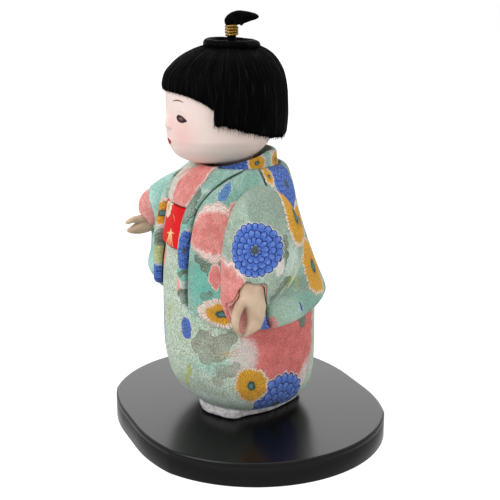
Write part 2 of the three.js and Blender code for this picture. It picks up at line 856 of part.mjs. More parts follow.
function hairFringe() {
  return clothPanel({
    columns: 10,
    rows: 6,
    edge: 0.04,
    left: always(-templeAngle),
    right: always(templeAngle),
    low: fringeHem,
    high: always(hairTop),
    inner: scalp,
    outer: hair.point,
  });
}

function hairRing() {
  const inside = stemRadius + seatGap;
  const rollCentre = ringRadius - ringRoll;
  const height = ringBottom + ringRoll;
  const profile = [new THREE.Vector2(inside, height - ringRoll)];
  for (let i = 0; i <= 8; i += 1) {
    const t = (-90 + i * 30) * degrees;
    profile.push(new THREE.Vector2(rollCentre + ringRoll * Math.cos(t), height + ringRoll * Math.sin(t)));
  }
  profile.push(new THREE.Vector2(rollCentre - ringRoll * 1.4, height + ringRoll - ringDish * 1.2));
  profile.push(new THREE.Vector2(inside, height + ringRoll - ringDish * 1.5));
  profile.push(profile[0].clone());
  const ring = new THREE.LatheGeometry(profile, 28);
  return ring.rotateX(Math.PI / 2).translate(0, knotY, 0);
}

function topknotStem() {
  return bar(v3(0, knotY, hairTop - 0.8), v3(0, knotY, stemTop), stemRadius, 24);
}

// Gold cord wound round the stem: the helix and its least gap to itself
function bindingPoint(t) {
  const angle = t * bindingTurns * 2 * Math.PI - Math.PI / 2;
  const radius = stemRadius + seatGap + bindingRadius;
  const z = bindingBottom + bindingRadius + t * bindingTurns * bindingPitch;
  return v3(radius * Math.cos(angle), knotY + radius * Math.sin(angle), z);
}

function topknotCord() {
  const perTurn = 24;
  const count = Math.round(bindingTurns * perTurn);
  const path = Array.from({ length: count + 1 }, (_, i) => bindingPoint(i / count));
  let least = Infinity;
  for (let i = 0; i <= count; i += 1) {
    for (let j = i + perTurn - 6; j <= count; j += 1) {
      least = Math.min(least, path[i].distanceTo(path[j]) - 2 * bindingRadius);
    }
  }
  console.log(`topknot_cord least gap to itself ${least.toFixed(2)} mm`);
  const centre = v3(0, knotY, 0);
  const rings = path.map((p) => {
    const out = v3(p.x - centre.x, p.y - centre.y, 0).normalize();
    const ring = [];
    for (let i = 0; i < 6; i += 1) {
      const t = (i / 6) * 2 * Math.PI;
      ring.push(p.clone()
        .addScaledVector(out, bindingRadius * Math.cos(t))
        .addScaledVector(axisZ, -bindingRadius * Math.sin(t)));
    }
    return ring;
  });
  return loft(rings);
}

function topknotTail() {
  const stations = [
    [knotY - 0.2, stemTop + 0.3, 2.2, 2.3, 0], [knotY - 0.5, 162, 3.2, 3.1, 5],
    [knotY + 0.2, 163.2, 3.4, 3.1, 35], [knotY + 2.1, 164.1, 3.0, 2.3, 70],
    [knotY + 4.8, 164.4, 2.5, 1.9, 92], [knotY + 7.6, 164.1, 1.6, 1.2, 106],
    [knotY + 10.4, 163.3, 0.4, 0.35, 112],
  ];
  return limb(stations.map(([y, z, wide, tall, lean]) => ({
    at: v3(0, y, z),
    across: axisX,
    up: v3(0, Math.cos(lean * degrees), -Math.sin(lean * degrees)),
    wide: wide * 0.8,
    tall,
  })), 12);
}

// Finishes
const lacquer = { color: 0x0a0a0b, roughness: 0.16, metalness: 0 };
const wood = { color: 0xc9a26b, roughness: 0.7, metalness: 0 };
const composition = { color: 0xb89c78, roughness: 0.9, metalness: 0 };
const whiteCrepe = { color: 0xd9d4d6, roughness: 0.85, metalness: 0 };
const mintCrepe = { color: 0x9fc7b0, roughness: 0.85, metalness: 0 };
const rose = { color: 0xdf8f8f, roughness: 0.85, metalness: 0 };
const red = { color: 0xc5161f, roughness: 0.55, metalness: 0 };
const gofun = { color: 0xeedfda, roughness: 0.35, metalness: 0 };
const handGofun = { color: 0xdcc8ae, roughness: 0.45, metalness: 0 };
const black = { color: 0x060606, roughness: 0.4, metalness: 0 };
const gold = { color: 0xc9a13a, roughness: 0.3, metalness: 0.9 };
const steel = { color: 0x9a9a98, roughness: 0.35, metalness: 0.9 };

const doll = new THREE.Group();
doll.position.z = standThickness;
const part = new THREE.Group();
part.add(doll);

function place(group, name, geometry, finish) {
  const mesh = new THREE.Mesh(geometry, new THREE.MeshStandardMaterial(finish));
  mesh.name = name;
  group.add(mesh);
}

place(part, 'display_stand', displayStand(), lacquer);
place(doll, 'stand_peg_left', standPeg(1), wood);
place(doll, 'stand_peg_right', standPeg(-1), wood);
place(doll, 'foot_block', footBlock(), whiteCrepe);
place(doll, 'body_core', bodyCore(), composition);
place(doll, 'kimono_skirt', kimonoSkirt(), mintCrepe);
place(doll, 'obi_sash', obiSash(), red);
place(doll, 'kimono_collar_left', kimonoCollar(1), rose);
place(doll, 'kimono_collar_right', kimonoCollar(-1), mintCrepe);
place(doll, 'neck_band', neckBand(), mintCrepe);
place(doll, 'jacket_placket_left', jacketPlacket(1), mintCrepe);
place(doll, 'jacket_placket_right', jacketPlacket(-1), mintCrepe);
place(doll, 'jacket_front_left', jacketFront(1), mintCrepe);
place(doll, 'jacket_front_right', jacketFront(-1), mintCrepe);
place(doll, 'jacket_back', jacketBack(), mintCrepe);
place(doll, 'left_sleeve', sleeve('left'), mintCrepe);
place(doll, 'right_sleeve', sleeve('right'), mintCrepe);
place(doll, 'left_sleeve_lining', leftSleeveLining(), rose);
place(doll, 'right_sleeve_lining', rightSleeveLining(), rose);
place(doll, 'left_hand', hand('left'), handGofun);
place(doll, 'right_hand', hand('right'), handGofun);
place(doll, 'left_wrist_peg', wristBore('left', 0), steel);
place(doll, 'right_wrist_peg', wristBore('right', 0), steel);
place(doll, 'neck_peg', neckPeg(), wood);
place(doll, 'head', headShape(), gofun);
place(doll, 'hair_bob', hairBob(), black);
place(doll, 'hair_fringe', hairFringe(), black);
place(doll, 'hair_ring', hairRing(), black);
place(doll, 'topknot_stem', topknotStem(), black);
place(doll, 'topknot_cord', topknotCord(), gold);
place(doll, 'topknot_tail', topknotTail(), black);

export default part;
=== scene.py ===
import math

import bpy
import numpy as np
from mathutils import Matrix, Vector


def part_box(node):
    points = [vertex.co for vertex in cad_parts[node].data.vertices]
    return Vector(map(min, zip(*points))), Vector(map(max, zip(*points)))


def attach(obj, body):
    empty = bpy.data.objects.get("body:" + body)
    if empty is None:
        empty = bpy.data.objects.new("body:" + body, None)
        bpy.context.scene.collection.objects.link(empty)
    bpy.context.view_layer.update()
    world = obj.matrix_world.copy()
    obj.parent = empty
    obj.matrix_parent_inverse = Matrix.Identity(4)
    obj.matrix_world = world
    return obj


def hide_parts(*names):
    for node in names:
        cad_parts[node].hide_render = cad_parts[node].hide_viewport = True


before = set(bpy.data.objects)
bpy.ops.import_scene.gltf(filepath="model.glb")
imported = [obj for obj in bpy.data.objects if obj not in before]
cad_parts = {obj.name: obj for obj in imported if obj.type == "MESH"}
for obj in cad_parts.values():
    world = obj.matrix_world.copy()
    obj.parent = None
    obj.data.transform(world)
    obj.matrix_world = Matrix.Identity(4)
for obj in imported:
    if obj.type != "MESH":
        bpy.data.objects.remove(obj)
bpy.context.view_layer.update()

# A child doll in floral crepe on a lacquered stand. Lengths are in millimetres and angles in degrees.
# Angles go round the doll: 0 is its front, 90 its left side, 180 its back.
# Heights are above the stand's top, where the doll's own frame starts.
MM = 0.001
STAND_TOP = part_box("display_stand")[1].z / MM

# Cloth and clearances
CLOTH_GAP = 0.4
SEAM_GAP = 0.5
SLEEVE_GAP = 0.7
SEAT_GAP = 0.3
RUNNING_GAP = 0.35
SWEEP_GAP = 0.5
SOFT_SWEEP_GAP = 1.1
SKIRT_CLOTH = 2.0
OBI_CLOTH = 1.3
COLLAR_CLOTH = 1.7
NECK_BAND_INSET = 0.5
NECK_BAND_CLOTH = 2.0
PLACKET_PROUD = 1.0

# Rounds in which the edges of a panel, each given along the other, settle
EDGE_ROUNDS = 8

# The doll under its jacket: height, half width, reach to the front, reach to the back
BODY_CENTRE_Y = -3.3
HEM = 4.5
WAIST = 72.5
BODY_SECTIONS = [
    (4.5, 22.5, 22.8, 23.8), (8, 26.3, 27.3, 26.6), (12, 29, 30.8, 27.8), (18, 31.3, 33.8, 28.3),
    (30, 33, 35.8, 28.3), (50, 33, 35.9, 28.3), (62, 32.5, 35.6, 26.2), (72, 31, 34.2, 21.8),
    (82, 29.5, 32.8, 18.4), (90, 28.2, 31.3, 15.8), (97, 25.8, 28.6, 14.9), (102, 20.5, 23.6, 13.9),
    (106, 15.2, 18.4, 13.0), (109, 14.6, 17.6, 12.7),
]
JACKET_TOP = 105.2
JACKET_SECTIONS = [
    (44, 37.7, 38.6, 34.2), (50, 37, 38.8, 33.5), (60, 36, 38.7, 29.5), (73, 34.5, 38.3, 24.4),
    (82, 33, 37, 21.2), (91, 31, 35, 18.6), (97, 28.5, 32, 17.8), (101.6, 24, 27.2, 16.9),
    (106, 18.3, 21.6, 15.8),
]
SIDE_SEAM = 94
SHOULDER_SLIT = 0.9
SEAM_SWING = 9
SEAM_RETURN = 2.5
HEM_FRONT = 54.5
HEM_SIDE = 44.4
HEM_BACK = 50
HEM_SIDE_FROM = 60
HEM_FRONT_REACH = 38
JACKET_ROOM_BOTTOM = 40

# Edges of the jacket and the kimono, as angles at heights
PLACKET_INNER = [(50, 22.5), (60, 22), (75, 22), (84, 22.5), (90, 24.5), (97, 30), (102, 34.5), (106, 36)]
PLACKET_OUTER = [(50, 29), (60, 29), (75, 30), (84, 31), (90, 33), (97, 40), (102, 53), (106, 78)]
COLLAR_EDGE = [(88, -24), (92, -22), (97, -15), (102, -5), (106, 6)]
OBI_BOTTOM = 73.2
OBI_TOP = 90
COLLAR_TOP = 107
UNDER_COLLAR_BOTTOM = 93.2
NECK_BAND_ANGLE = 22
NECK_BAND_BOTTOM = 101.4
NECK_BAND_TOP = 107.4
NAPE_RISE = 3.6

# Angle of the line where the left side of the kimono lies over the right
SKIRT_OVERLAP = 17

# Sleeves, as outlines seen from the side: along the doll's depth, and height
LEFT_SLEEVE = [
    (-7, 102), (-14.5, 98.5), (-20, 90), (-23.3, 79), (-25, 66), (-25, 56), (-21.2, 48),
    (-15.6, 44.4), (-12, 49.5), (-10.4, 54), (-6.6, 57), (-0.6, 60.6), (4.6, 66.4), (8.3, 75), (7.5, 87),
    (1.5, 98),
]
RIGHT_SLEEVE = [
    (-8, 100), (-17.5, 97), (-27, 93), (-32.7, 87.5), (-33, 81), (-31.2, 75), (-30.2, 69), (-30.4, 60),
    (-31.6, 53), (-27.5, 47), (-20, 44.8), (-9, 47), (1, 55), (7.5, 68), (8.2, 84), (2, 98),
]
SLEEVE_TOP_X = 31.5
SLEEVE_BOTTOM_X = 37.5
SLEEVE_BOTTOM = 45
SLEEVE_HEIGHT = 57
SLEEVE_HALF = 11
SLEEVE_MIDDLE_Y = -9
SLEEVE_EDGE_REACH = 9
SLEEVE_RIM_FULLNESS = 0.75
SLEEVE_FACE_FULLNESS = 0.8
SLEEVE_VOXEL = 0.42
LINING_CLOTH = 0.9
LINING_VOXEL = 0.24
CUSHION_VOXEL = 0.3
LEFT_CUFF = [
    (-16, 66.6), (-20.6, 66), (-22.8, 61.2), (-26, 56), (-27.4, 50.5), (-24.4, 45), (-18.5, 42),
    (-13.6, 43.6), (-11.6, 50.5), (-11, 59), (-11.4, 66.6),
]
LEFT_CUFF_FLOOR = 38.2
LEFT_CUFF_RIM = -0.9
LEFT_CUFF_REACH = 20
RIGHT_CUFF = ((-35.2, -28.8, 81), (6.6, 7.2, 8.4))

# Hands: centre and half sizes of each station, and the pegs that they turn on
LEFT_PALM = [
    ((38.6, -14.8, 75), 1.9, 3.0), ((39.3, -15.2, 71), 2.6, 4.5), ((41.3, -15.7, 66.2), 3.6, 5.2),
    ((42.4, -15.8, 60.2), 3.5, 5.3), ((42.8, -14.6, 56.6), 3.1, 4.2), ((43.2, -14.6, 52.6), 2.7, 3.4),
    ((43.2, -15.7, 49), 2.2, 2.9), ((43, -17.8, 46.8), 1.5, 1.8), ((42.8, -20, 45.3), 0.5, 0.5),
]
LEFT_THUMB = [
    ((42.6, -17.8, 62.8), 2.7, 2.7), ((43, -20.9, 58.8), 2.3, 2.0), ((43.3, -22.7, 55.2), 2.0, 1.6),
    ((43.5, -23.3, 51.8), 1.6, 1.4), ((43.4, -22.6, 48.6), 1.2, 1.1), ((43.2, -21, 46.4), 0.5, 0.5),
]
RIGHT_PALM = [
    ((-37, -20, 75.6), 2.0, 2.0), ((-37, -26, 74.8), 2.8, 3.0), ((-37, -31.5, 73.4), 3.0, 3.8),
    ((-37, -35, 72.3), 2.8, 3.2), ((-37, -38, 71.4), 2.2, 2.1), ((-37, -40, 71), 1.5, 1.2),
    ((-37, -41.2, 70.9), 0.6, 0.5),
]
RIGHT_THUMB = [
    ((-36, -31, 75), 1.9, 1.9), ((-35.6, -35, 76.1), 1.7, 1.7), ((-35.6, -38.5, 76), 1.4, 1.4),
    ((-35.8, -41, 75.2), 1.0, 1.0), ((-35.9, -42.2, 74.8), 0.5, 0.5),
]
LEFT_WRIST = ((37.2, -13.6, 88), (40.3, -15.1, 67))
RIGHT_WRIST = ((-37, -10, 77.4), (-37, -29, 74.2))
WRIST_PEG_RADIUS = 0.8
HAND_SQUARENESS = 0.82
HAND_VOXEL = 0.22
LEFT_HAND_TURNS = (-8, 0, 20)
RIGHT_HAND_TURNS = (-20, -10, 0, 10, 20)

# Head and neck
HEAD_CENTRE_Y = -10
HEAD_TURNS = (-25, 0, 25)
HEAD_ROOM_TOP = 118
NECK_CENTRE_Y = -6
NECK_RADIUS = 8.2
NECK_BOTTOM = 97
NECK_TOP = 112
NECK_PEG_RADIUS = 3
NECK_PEG_TOP = 120
HEAD_SECTIONS = [
    (106.0, 3, 18.5, -8), (106.9, 7.5, 23.2, -5), (108.4, 11.3, 27, 0.2), (111, 15.4, 30.3, 4.2),
    (114, 18.8, 32.5, 6.8), (118, 21.3, 33.6, 9.7), (126, 22.3, 33.7, 13.2), (134, 21.9, 33.8, 13.8),
    (140, 20.2, 31.8, 12.8), (145, 16.6, 27, 10), (148.6, 11.5, 21, 5), (150, 5, 14.5, -4.5),
]
FACE_RADIUS = 24
NOSE_HEIGHT = 122.6
LIP_HEIGHT = 116.2
CHIN_HEIGHT = 110.6
EYE_ANGLE = 24
EYE_HEIGHT = 126.1
EYE_SIDE = 10.1
EYE_HALF = 3.3
BROW_SIDE = 8.2
BROW_HEIGHT = 133.3
BROW_HALF = 4.4
LIP_HALF = 2.5

# Hair
HAIR_THICKNESS = 1.9
HAIR_TOP = 152.9
HAIR_SECTIONS = [
    (116, 23.6, 34.6, 15.2), (126, 24.6, 35, 16.1), (134, 24.5, 35.3, 15.9), (138, 23.9, 35.1, 15.5),
    (142, 22.7, 34.2, 14.7), (146, 20.5, 31, 12.9), (149, 17.9, 27.2, 10.6), (151.2, 14.6, 22.6, 7.9),
    (152.9, 10.3, 17.4, 4.4),
]
TEMPLE = 59.5
PARTING = 0.1
FRINGE_FRONT = 136.4
FRINGE_TEMPLE = 130.3
BOB_TEMPLE = 124.5
BOB_BACK = 117.2
BOB_TIPS = 0.5
FRINGE_TIPS = 0.2
LOOSE_HAIR_STEPS = 7
LOOSE_HAIR_SIDES = 3
STRAYS = 9
KNOT_Y = -6.6
RING_RADIUS = 11.5
RING_ROLL = 1.9
RING_BOTTOM = 152.3
RING_DISH = 1.1
RING_DROP = 1.0
RING_ARCH = 0.3
STEM_RADIUS = 1.85
STEM_TOP = 161
BINDING_REACH = 2.28
BINDING_RADIUS = 0.53
BINDING_PITCH = 1.12
BINDING_TURNS = 3.3
BINDING_TWISTS = 9
BINDING_BOTTOM = 156.5
TAIL = [
    ((0, 160.4), 1.7, 1.7, 0), ((0.1, 161.2), 2.9, 2.8, 4), ((0.6, 162.3), 3.4, 3.5, 24),
    ((2.4, 163.2), 3.1, 3.3, 56), ((5.0, 163.8), 2.7, 2.5, 84), ((8.2, 163.9), 2.0, 1.75, 96),
    ((10.6, 163.8), 1.2, 1.1, 100), ((11.6, 163.7), 0.5, 0.45, 100),
]
TAIL_NARROWING = 0.8

# Stand
STAND_LENGTH = 128.4
STAND_DEPTH = 107.2
STAND_END_RADIUS = 55.2
STAND_CORNER = 14
STAND_EDGE = 1.1

# Stand's side: height and inset at its foot, and of the fine line under its rounded edge
STAND_FOOT_BEVEL = [(0, 0.55), (0.2, 0.2), (0.55, 0)]
STAND_LINE = [(-1.1, 0), (-0.9, 0.16), (-0.7, 0)]

# Pegs and outline of the foot block
FOOT_PEG_X = 9.8
FOOT_PEG_RADIUS = 2
FOOT_PEG_IN_STAND = 6.5
FOOT_OUTLINE = [
    (0, -22.2), (6.5, -22.8), (13.9, -19.6), (19.6, -14.7), (18.7, -8.3), (17.8, 2), (14.3, 10.9),
    (9.3, 19.2), (5, 22.8), (0, 23.8), (-5, 22.4), (-9.8, 17.8), (-13.6, 9), (-16, 0), (-17.7, -8),
    (-18.4, -13.6), (-13.6, -17), (-6.5, -20),
]
FOOT_TOP = HEM - 0.1

# Foot block's side: height, and share of the outline there
FOOT_PROFILE = [
    (SEAT_GAP, 0.94), (SEAT_GAP + 0.1, 0.965), (SEAT_GAP + 0.35, 0.985), (1.2, 1.0),
    (2.2, 1.004), (3.2, 0.998), (FOOT_TOP - 0.4, 0.99), (FOOT_TOP, 0.975),
]

# Camera of the photograph, and the floor's half width
CAMERA_PLACE = (425.9, -178.8, 208.3)
CAMERA_TARGET = (0.5, 1.1, 77.7)
CAMERA_LENS = 82.0
CAMERA_SENSOR = 36.0
CAMERA_NEAREST = 0.01
FLOOR_REACH = 9000

# Lamps: place in metres, width, power, and whether polished faces show them
LAMPS = {
    "key_light": ((0.35, -1.1, 0.95), 0.9, 14, True),
    "fill_light": ((1.0, 0.8, 0.6), 1.0, 8, False),
    "top_light": ((-0.1, 0.1, 1.5), 1.1, 6, True),
    "back_light": ((-1.25, 0.52, 0.46), 1.4, 8, True),
}
LAMP_TARGET = (0, 0, 0.09)

# Strength of the white surroundings for each kind of ray
SURROUNDINGS = {
    "Is Camera Ray": 1.0, "Is Transmission Ray": 1.0, "Is Glossy Ray": 1.0, "Is Diffuse Ray": 0.33,
}

# Radius at which angles become lengths along the cloth
CLOTH_RADIUS = 34.0


# Plain maths

def smooth(x, low, high):
    t = np.clip((np.asarray(x, float) - low) / (high - low), 0, 1)
    return t * t * (3 - 2 * t)


def lerp(a, b, t):
    return a + (b - a) * t


def bell(x, width):
    return np.exp(-(x / width) ** 2)


def wrap_angle(angle):
    return (np.asarray(angle, float) + 540) % 360 - 180


def full_turn(count):
    """Even angles once round, in radians."""
    return np.linspace(0, 2 * np.pi, count, endpoint=False)


def run_along(points):
    """Length of the way from the first point to each point."""
    steps = np.linalg.norm(np.diff(points, axis=0), axis=1)
    return np.concatenate([[0], np.cumsum(steps)])


class Curve:
    """Smooth curve through rows of numbers, the first of each row being where it is."""

    def __init__(self, rows):
        rows = np.array(rows, float)
        self.at = rows[:, 0]
        self.values = rows[:, 1:]
        slopes = np.diff(self.values, axis=0) / np.diff(self.at)[:, None]
        before = slopes[:-1]
        after = slopes[1:]
        same = before * after > 0
        total = np.where(same, before + after, 1)
        middle = np.where(same, 2 * before * after / total, 0)
        self.tangents = np.concatenate([slopes[:1], middle, slopes[-1:]])

    def __call__(self, where):
        x = np.clip(np.asarray(where, float), self.at[0], self.at[-1])
        i = np.clip(np.searchsorted(self.at, x, side="right") - 1, 0, len(self.at) - 2)
        h = self.at[i + 1] - self.at[i]
        t = ((x - self.at[i]) / h)[..., None]
        h = h[..., None]
        low = (1 + 2 * t) * (1 - t) ** 2 * self.values[i] + t * (1 - t) ** 2 * h * self.tangents[i]
        high = t * t * (3 - 2 * t) * self.values[i + 1] + t * t * (t - 1) * h * self.tangents[i + 1]
        return low + high


def by_height(rows):
    curve = Curve(rows)
    return lambda z: curve(z)[..., 0]


def always(value):
    return lambda where: np.full(np.shape(where), float(value))


class RoundForm:
    """A round form given by its cross-sections."""

    def __init__(self, sections, centre_y, relief=None):
        self.shape = Curve(sections)
        self.centre_y = centre_y
        self.relief = relief

    def skin(self, angle, z):
        angle, z = np.broadcast_arrays(np.asarray(angle, float), np.asarray(z, float))
        side, front, back = np.moveaxis(self.shape(z), -1, 0)
        turn = np.radians(angle)
        reach = np.where(np.cos(turn) > 0, front + self.centre_y, back - self.centre_y)
        if self.relief:
            reach = reach + self.relief(angle, z)
        return np.stack([side * np.sin(turn), self.centre_y - reach * np.cos(turn), z], -1)

    def normal(self, angle, z):
        angle, z = np.broadcast_arrays(np.asarray(angle, float), np.asarray(z, float))
        around = self.skin(angle + 0.5, z) - self.skin(angle - 0.5, z)
        across = np.cross(around, self.skin(angle, z + 0.2) - self.skin(angle, z - 0.2))
        return across / np.maximum(np.linalg.norm(across, axis=-1, keepdims=True), 1e-9)

    def point(self, angle, z, standoff=0.0):
        return self.skin(angle, z) + self.normal(angle, z) * np.asarray(standoff, float)[..., None]

    def level_point(self, angle, z, standoff=0.0):
        """The same, kept at its own height."""
        points = self.point(angle, z, standoff)
        points[..., 2] = z
        return points

    def bearing(self, points):
        """Sine and minus cosine of the angle at which each point lies round the form."""
        side, front, back = np.moveaxis(self.shape(points[..., 2]), -1, 0)
        across = points[..., 0] / side
        forward = self.centre_y - points[..., 1]
        reach = np.where(forward > 0, front + self.centre_y, back - self.centre_y)
        ahead = forward / np.where(np.abs(reach) < 1, 1, reach)
        size = np.maximum(np.hypot(across, ahead), 1e-6)
        return across / size, -ahead / size


class Noise:
    """Smooth value noise on a plane, the same on every run."""

    def __init__(self, seed, size=64):
        self.grid = np.random.default_rng(seed).uniform(-1, 1, (size, size))
        self.size = size

    def __call__(self, x, y):
        x, y = np.broadcast_arrays(np.asarray(x, float), np.asarray(y, float))
        ix = np.floor(x).astype(int)
        iy = np.floor(y).astype(int)
        fx = x - ix
        fy = y - iy
        fx = fx * fx * (3 - 2 * fx)
        fy = fy * fy * (3 - 2 * fy)
        grid = self.grid
        size = self.size
        low = lerp(grid[ix % size, iy % size], grid[(ix + 1) % size, iy % size], fx)
        high = lerp(grid[ix % size, (iy + 1) % size], grid[(ix + 1) % size, (iy + 1) % size], fx)
        return lerp(low, high, fy)


pucker_noise = Noise(3)
padding_noise = Noise(5)
strand_noise = Noise(7, 509)


def face_relief(angle, z):
    across = np.radians(wrap_angle(angle)) * FACE_RADIUS
    below = z < NOSE_HEIGHT
    nose = 1.6 * bell(across, 2.6) * bell(z - NOSE_HEIGHT, np.where(below, 1.7, 4.6))
    wings = 0.22 * bell(np.abs(across) - 1.9, 1.0) * bell(z - NOSE_HEIGHT + 0.5, 1.1)
    lips = 0.45 * bell(across, 3.4) * bell(z - LIP_HEIGHT, 2.6)
    upper = 0.4 * bell(across, 1.9) * bell(z - LIP_HEIGHT - 0.75, 0.7)
    lower = 0.38 * bell(across, 1.6) * bell(z - LIP_HEIGHT + 0.85, 0.75)
    chin = 0.9 * bell(across, 6) * bell(z - CHIN_HEIGHT, 2.6)
    eye = np.radians(EYE_ANGLE) * FACE_RADIUS
    hollow = -0.3 * bell(np.abs(across) - eye + 1.5, 4.5) * bell(z - EYE_HEIGHT - 0.5, 3.2)
    lid = 0.22 * bell(np.abs(across) - eye, 3.3) * bell(z - EYE_HEIGHT, 1.7)
    return nose + wings + lips + upper + lower + chin + hollow + lid


body = RoundForm(BODY_SECTIONS, BODY_CENTRE_Y)
jacket = RoundForm(JACKET_SECTIONS, BODY_CENTRE_Y)
skull = RoundForm(HEAD_SECTIONS, HEAD_CENTRE_Y, face_relief)
hair = RoundForm(HAIR_SECTIONS, HEAD_CENTRE_Y)
placket_inner = by_height(PLACKET_INNER)
placket_outer = by_height(PLACKET_OUTER)
collar_edge = by_height(COLLAR_EDGE)
jacket_reach = by_height([row[:2] for row in JACKET_SECTIONS])


def angle_for(length, z):
    return length / (jacket_reach(z) * math.radians(1))


# Mesh building

def new_mesh(name, points, faces):
    """Object from points in millimetres above the stand's top."""
    mesh = bpy.data.meshes.new(name)
    placed = (np.asarray(points, float).reshape(-1, 3) + [0, 0, STAND_TOP]) * MM
    mesh.from_pydata(placed.tolist(), [], faces)
    mesh.validate()
    mesh.polygons.foreach_set("use_smooth", [True] * len(mesh.polygons))
    mesh.update()
    piece = bpy.data.objects.new(name, mesh)
    bpy.context.scene.collection.objects.link(piece)
    return piece


def read_vectors(items, name):
    values = np.zeros(len(items) * 3, np.float32)
    items.foreach_get(name, values)
    return values.reshape(-1, 3).astype(float)


def mesh_points(piece):
    return read_vectors(piece.data.vertices, "co") / MM - [0, 0, STAND_TOP]


def move_points(piece, points):
    placed = (points + [0, 0, STAND_TOP]) * MM
    piece.data.vertices.foreach_set("co", placed.astype(np.float32).ravel())
    piece.data.update()


def mark(piece, marks):
    """Where each point lies on the cloth, for the pattern."""
    attribute = piece.data.attributes.new("cloth", "FLOAT_VECTOR", "POINT")
    attribute.data.foreach_set("vector", np.asarray(marks, np.float32).ravel())
    return piece


def mark_round(piece, form=body):
    points = mesh_points(piece)
    across, ahead = form.bearing(points)
    return mark(piece, np.stack([across, ahead, points[:, 2]], -1))


def mark_flat(piece):
    points = mesh_points(piece)
    return mark(piece, np.stack([points[:, 1], points[:, 0], points[:, 2]], -1))


def grid_faces(rows, columns, start=0, wrap=False, flip=False):
    j, i = np.meshgrid(np.arange(rows - 1), np.arange(columns if wrap else columns - 1), indexing="ij")
    a = start + j * columns + i
    b = start + j * columns + (i + 1) % columns
    quads = np.stack([a, b, b + columns, a + columns], -1).reshape(-1, 4)
    return (quads[:, ::-1] if flip else quads).tolist()


def pad_mesh(name, outer, inner):
    """Closed pad from an outer and an inner sheet of points, each rows by columns."""
    rows, columns = outer.shape[:2]
    half = rows * columns
    points = np.concatenate([outer.reshape(-1, 3), inner.reshape(-1, 3)])
    faces = grid_faces(rows, columns) + grid_faces(rows, columns, half, flip=True)
    rim = list(range(columns))
    rim += [j * columns + columns - 1 for j in range(1, rows)]
    rim += [(rows - 1) * columns + i for i in range(columns - 2, -1, -1)]
    rim += [j * columns for j in range(rows - 2, 0, -1)]
    for a, b in zip(rim, rim[1:] + rim[:1]):
        faces.append([b, a, half + a, half + b])
    return new_mesh(name, points, faces)


def loft_mesh(name, rings):
    """Closed skin over rings of points, with a point in the middle of each end."""
    rings = np.asarray(rings, float)
    count, around = rings.shape[:2]
    points = np.concatenate([rings.reshape(-1, 3), rings[:1].mean(1), rings[-1:].mean(1)])
    faces = grid_faces(count, around, wrap=True)
    for i in range(around):
        k = (i + 1) % around
        last = (count - 1) * around
        faces.append([k, i, count * around])
        faces.append([last + i, last + k, count * around + 1])
    return new_mesh(name, points, faces)


def hoop_mesh(name, rings):
    """Skin over rings of points, the last of which joins the first."""
    count, around = rings.shape[:2]
    faces = grid_faces(count, around, wrap=True)
    last = (count - 1) * around
    for i in range(around):
        k = (i + 1) % around
        faces.append([last + i, last + k, k, i])
    return facing_out(new_mesh(name, rings, faces))


def apply_modifiers(piece):
    graph = bpy.context.evaluated_depsgraph_get()
    graph.update()
    mesh = bpy.data.meshes.new_from_object(piece.evaluated_get(graph))
    old = piece.data
    piece.modifiers.clear()
    piece.data = mesh
    bpy.data.meshes.remove(old)
    mesh.polygons.foreach_set("use_smooth", [True] * len(mesh.polygons))
    return piece


def remove_piece(piece):
    mesh = piece.data
    bpy.data.objects.remove(piece)
    bpy.data.meshes.remove(mesh)


def combine(piece, operation, others):
    """Joins others to a piece or cuts them out of it, and deletes them."""
    for other in others:
        modifier = piece.modifiers.new("combine", "BOOLEAN")
        modifier.operation = operation
        modifier.solver = "MANIFOLD"
        modifier.object = other
        apply_modifiers(piece)
        remove_piece(other)
    return piece


def soften(piece, voxel, rounds):
    """Even fine mesh with its sharp edges rounded off."""
    remesh = piece.modifiers.new("even", "REMESH")
    remesh.mode = "VOXEL"
    remesh.voxel_size = voxel * MM
    remesh.use_smooth_shade = True
    relax = piece.modifiers.new("relax", "SMOOTH")
    relax.factor = 0.5
    relax.iterations = rounds
    return apply_modifiers(piece)


def turned(piece, peg, angle):
    """Turns a mesh about a peg given by its two ends."""
    start = (Vector(peg[0]) + Vector((0, 0, STAND_TOP))) * MM
    axis = (Vector(peg[0]) - Vector(peg[1])).normalized()
    turn = Matrix.Rotation(math.radians(angle), 4, axis)
    piece.data.transform(Matrix.Translation(start) @ turn @ Matrix.Translation(-start))
    return piece


def facing_out(piece):
    """Flips a closed mesh whose faces point inward."""
    mesh = piece.data
    mesh.calc_loop_triangles()
    corners = np.zeros(len(mesh.loop_triangles) * 3, np.int32)
    mesh.loop_triangles.foreach_get("vertices", corners)
    a, b, c = np.moveaxis(mesh_points(piece)[corners.reshape(-1, 3)], 1, 0)
    if np.einsum("ij,ij->i", a, np.cross(b, c)).sum() < 0:
        mesh.flip_normals()
    return piece


def bar(start, end, radius, sides=32):
    start = np.array(start, float)
    end = np.array(end, float)
    axis = (end - start) / np.linalg.norm(end - start)
    across = np.cross(axis, [1, 0, 0] if abs(axis[0]) < 0.9 else [0, 1, 0])
    across /= np.linalg.norm(across)
    up = np.cross(axis, across)
    turn = full_turn(sides)[:, None]
    ring = radius * (np.cos(turn) * across + np.sin(turn) * up)
    return facing_out(loft_mesh("bar", [ring + start, ring + end]))


def ball(centre, radii, sides=96):
    turn = full_turn(sides)[None, :]
    lift = np.radians(np.linspace(-89, 89, sides // 2))[:, None]
    unit = np.stack([np.cos(lift) * np.cos(turn), np.cos(lift) * np.sin(turn), np.sin(lift) + 0 * turn], -1)
    return facing_out(loft_mesh("ball", unit * radii + centre))


def form_solid(form, low, high, standoff, sides=160, tiers=60):
    angle = np.linspace(0, 360, sides, endpoint=False)[None, :]
    z = np.linspace(low, high, tiers)[:, None] + 0 * angle
    return facing_out(loft_mesh("form", form.level_point(angle, z, standoff + 0 * z)))


# Padded cloth tucked into grooves

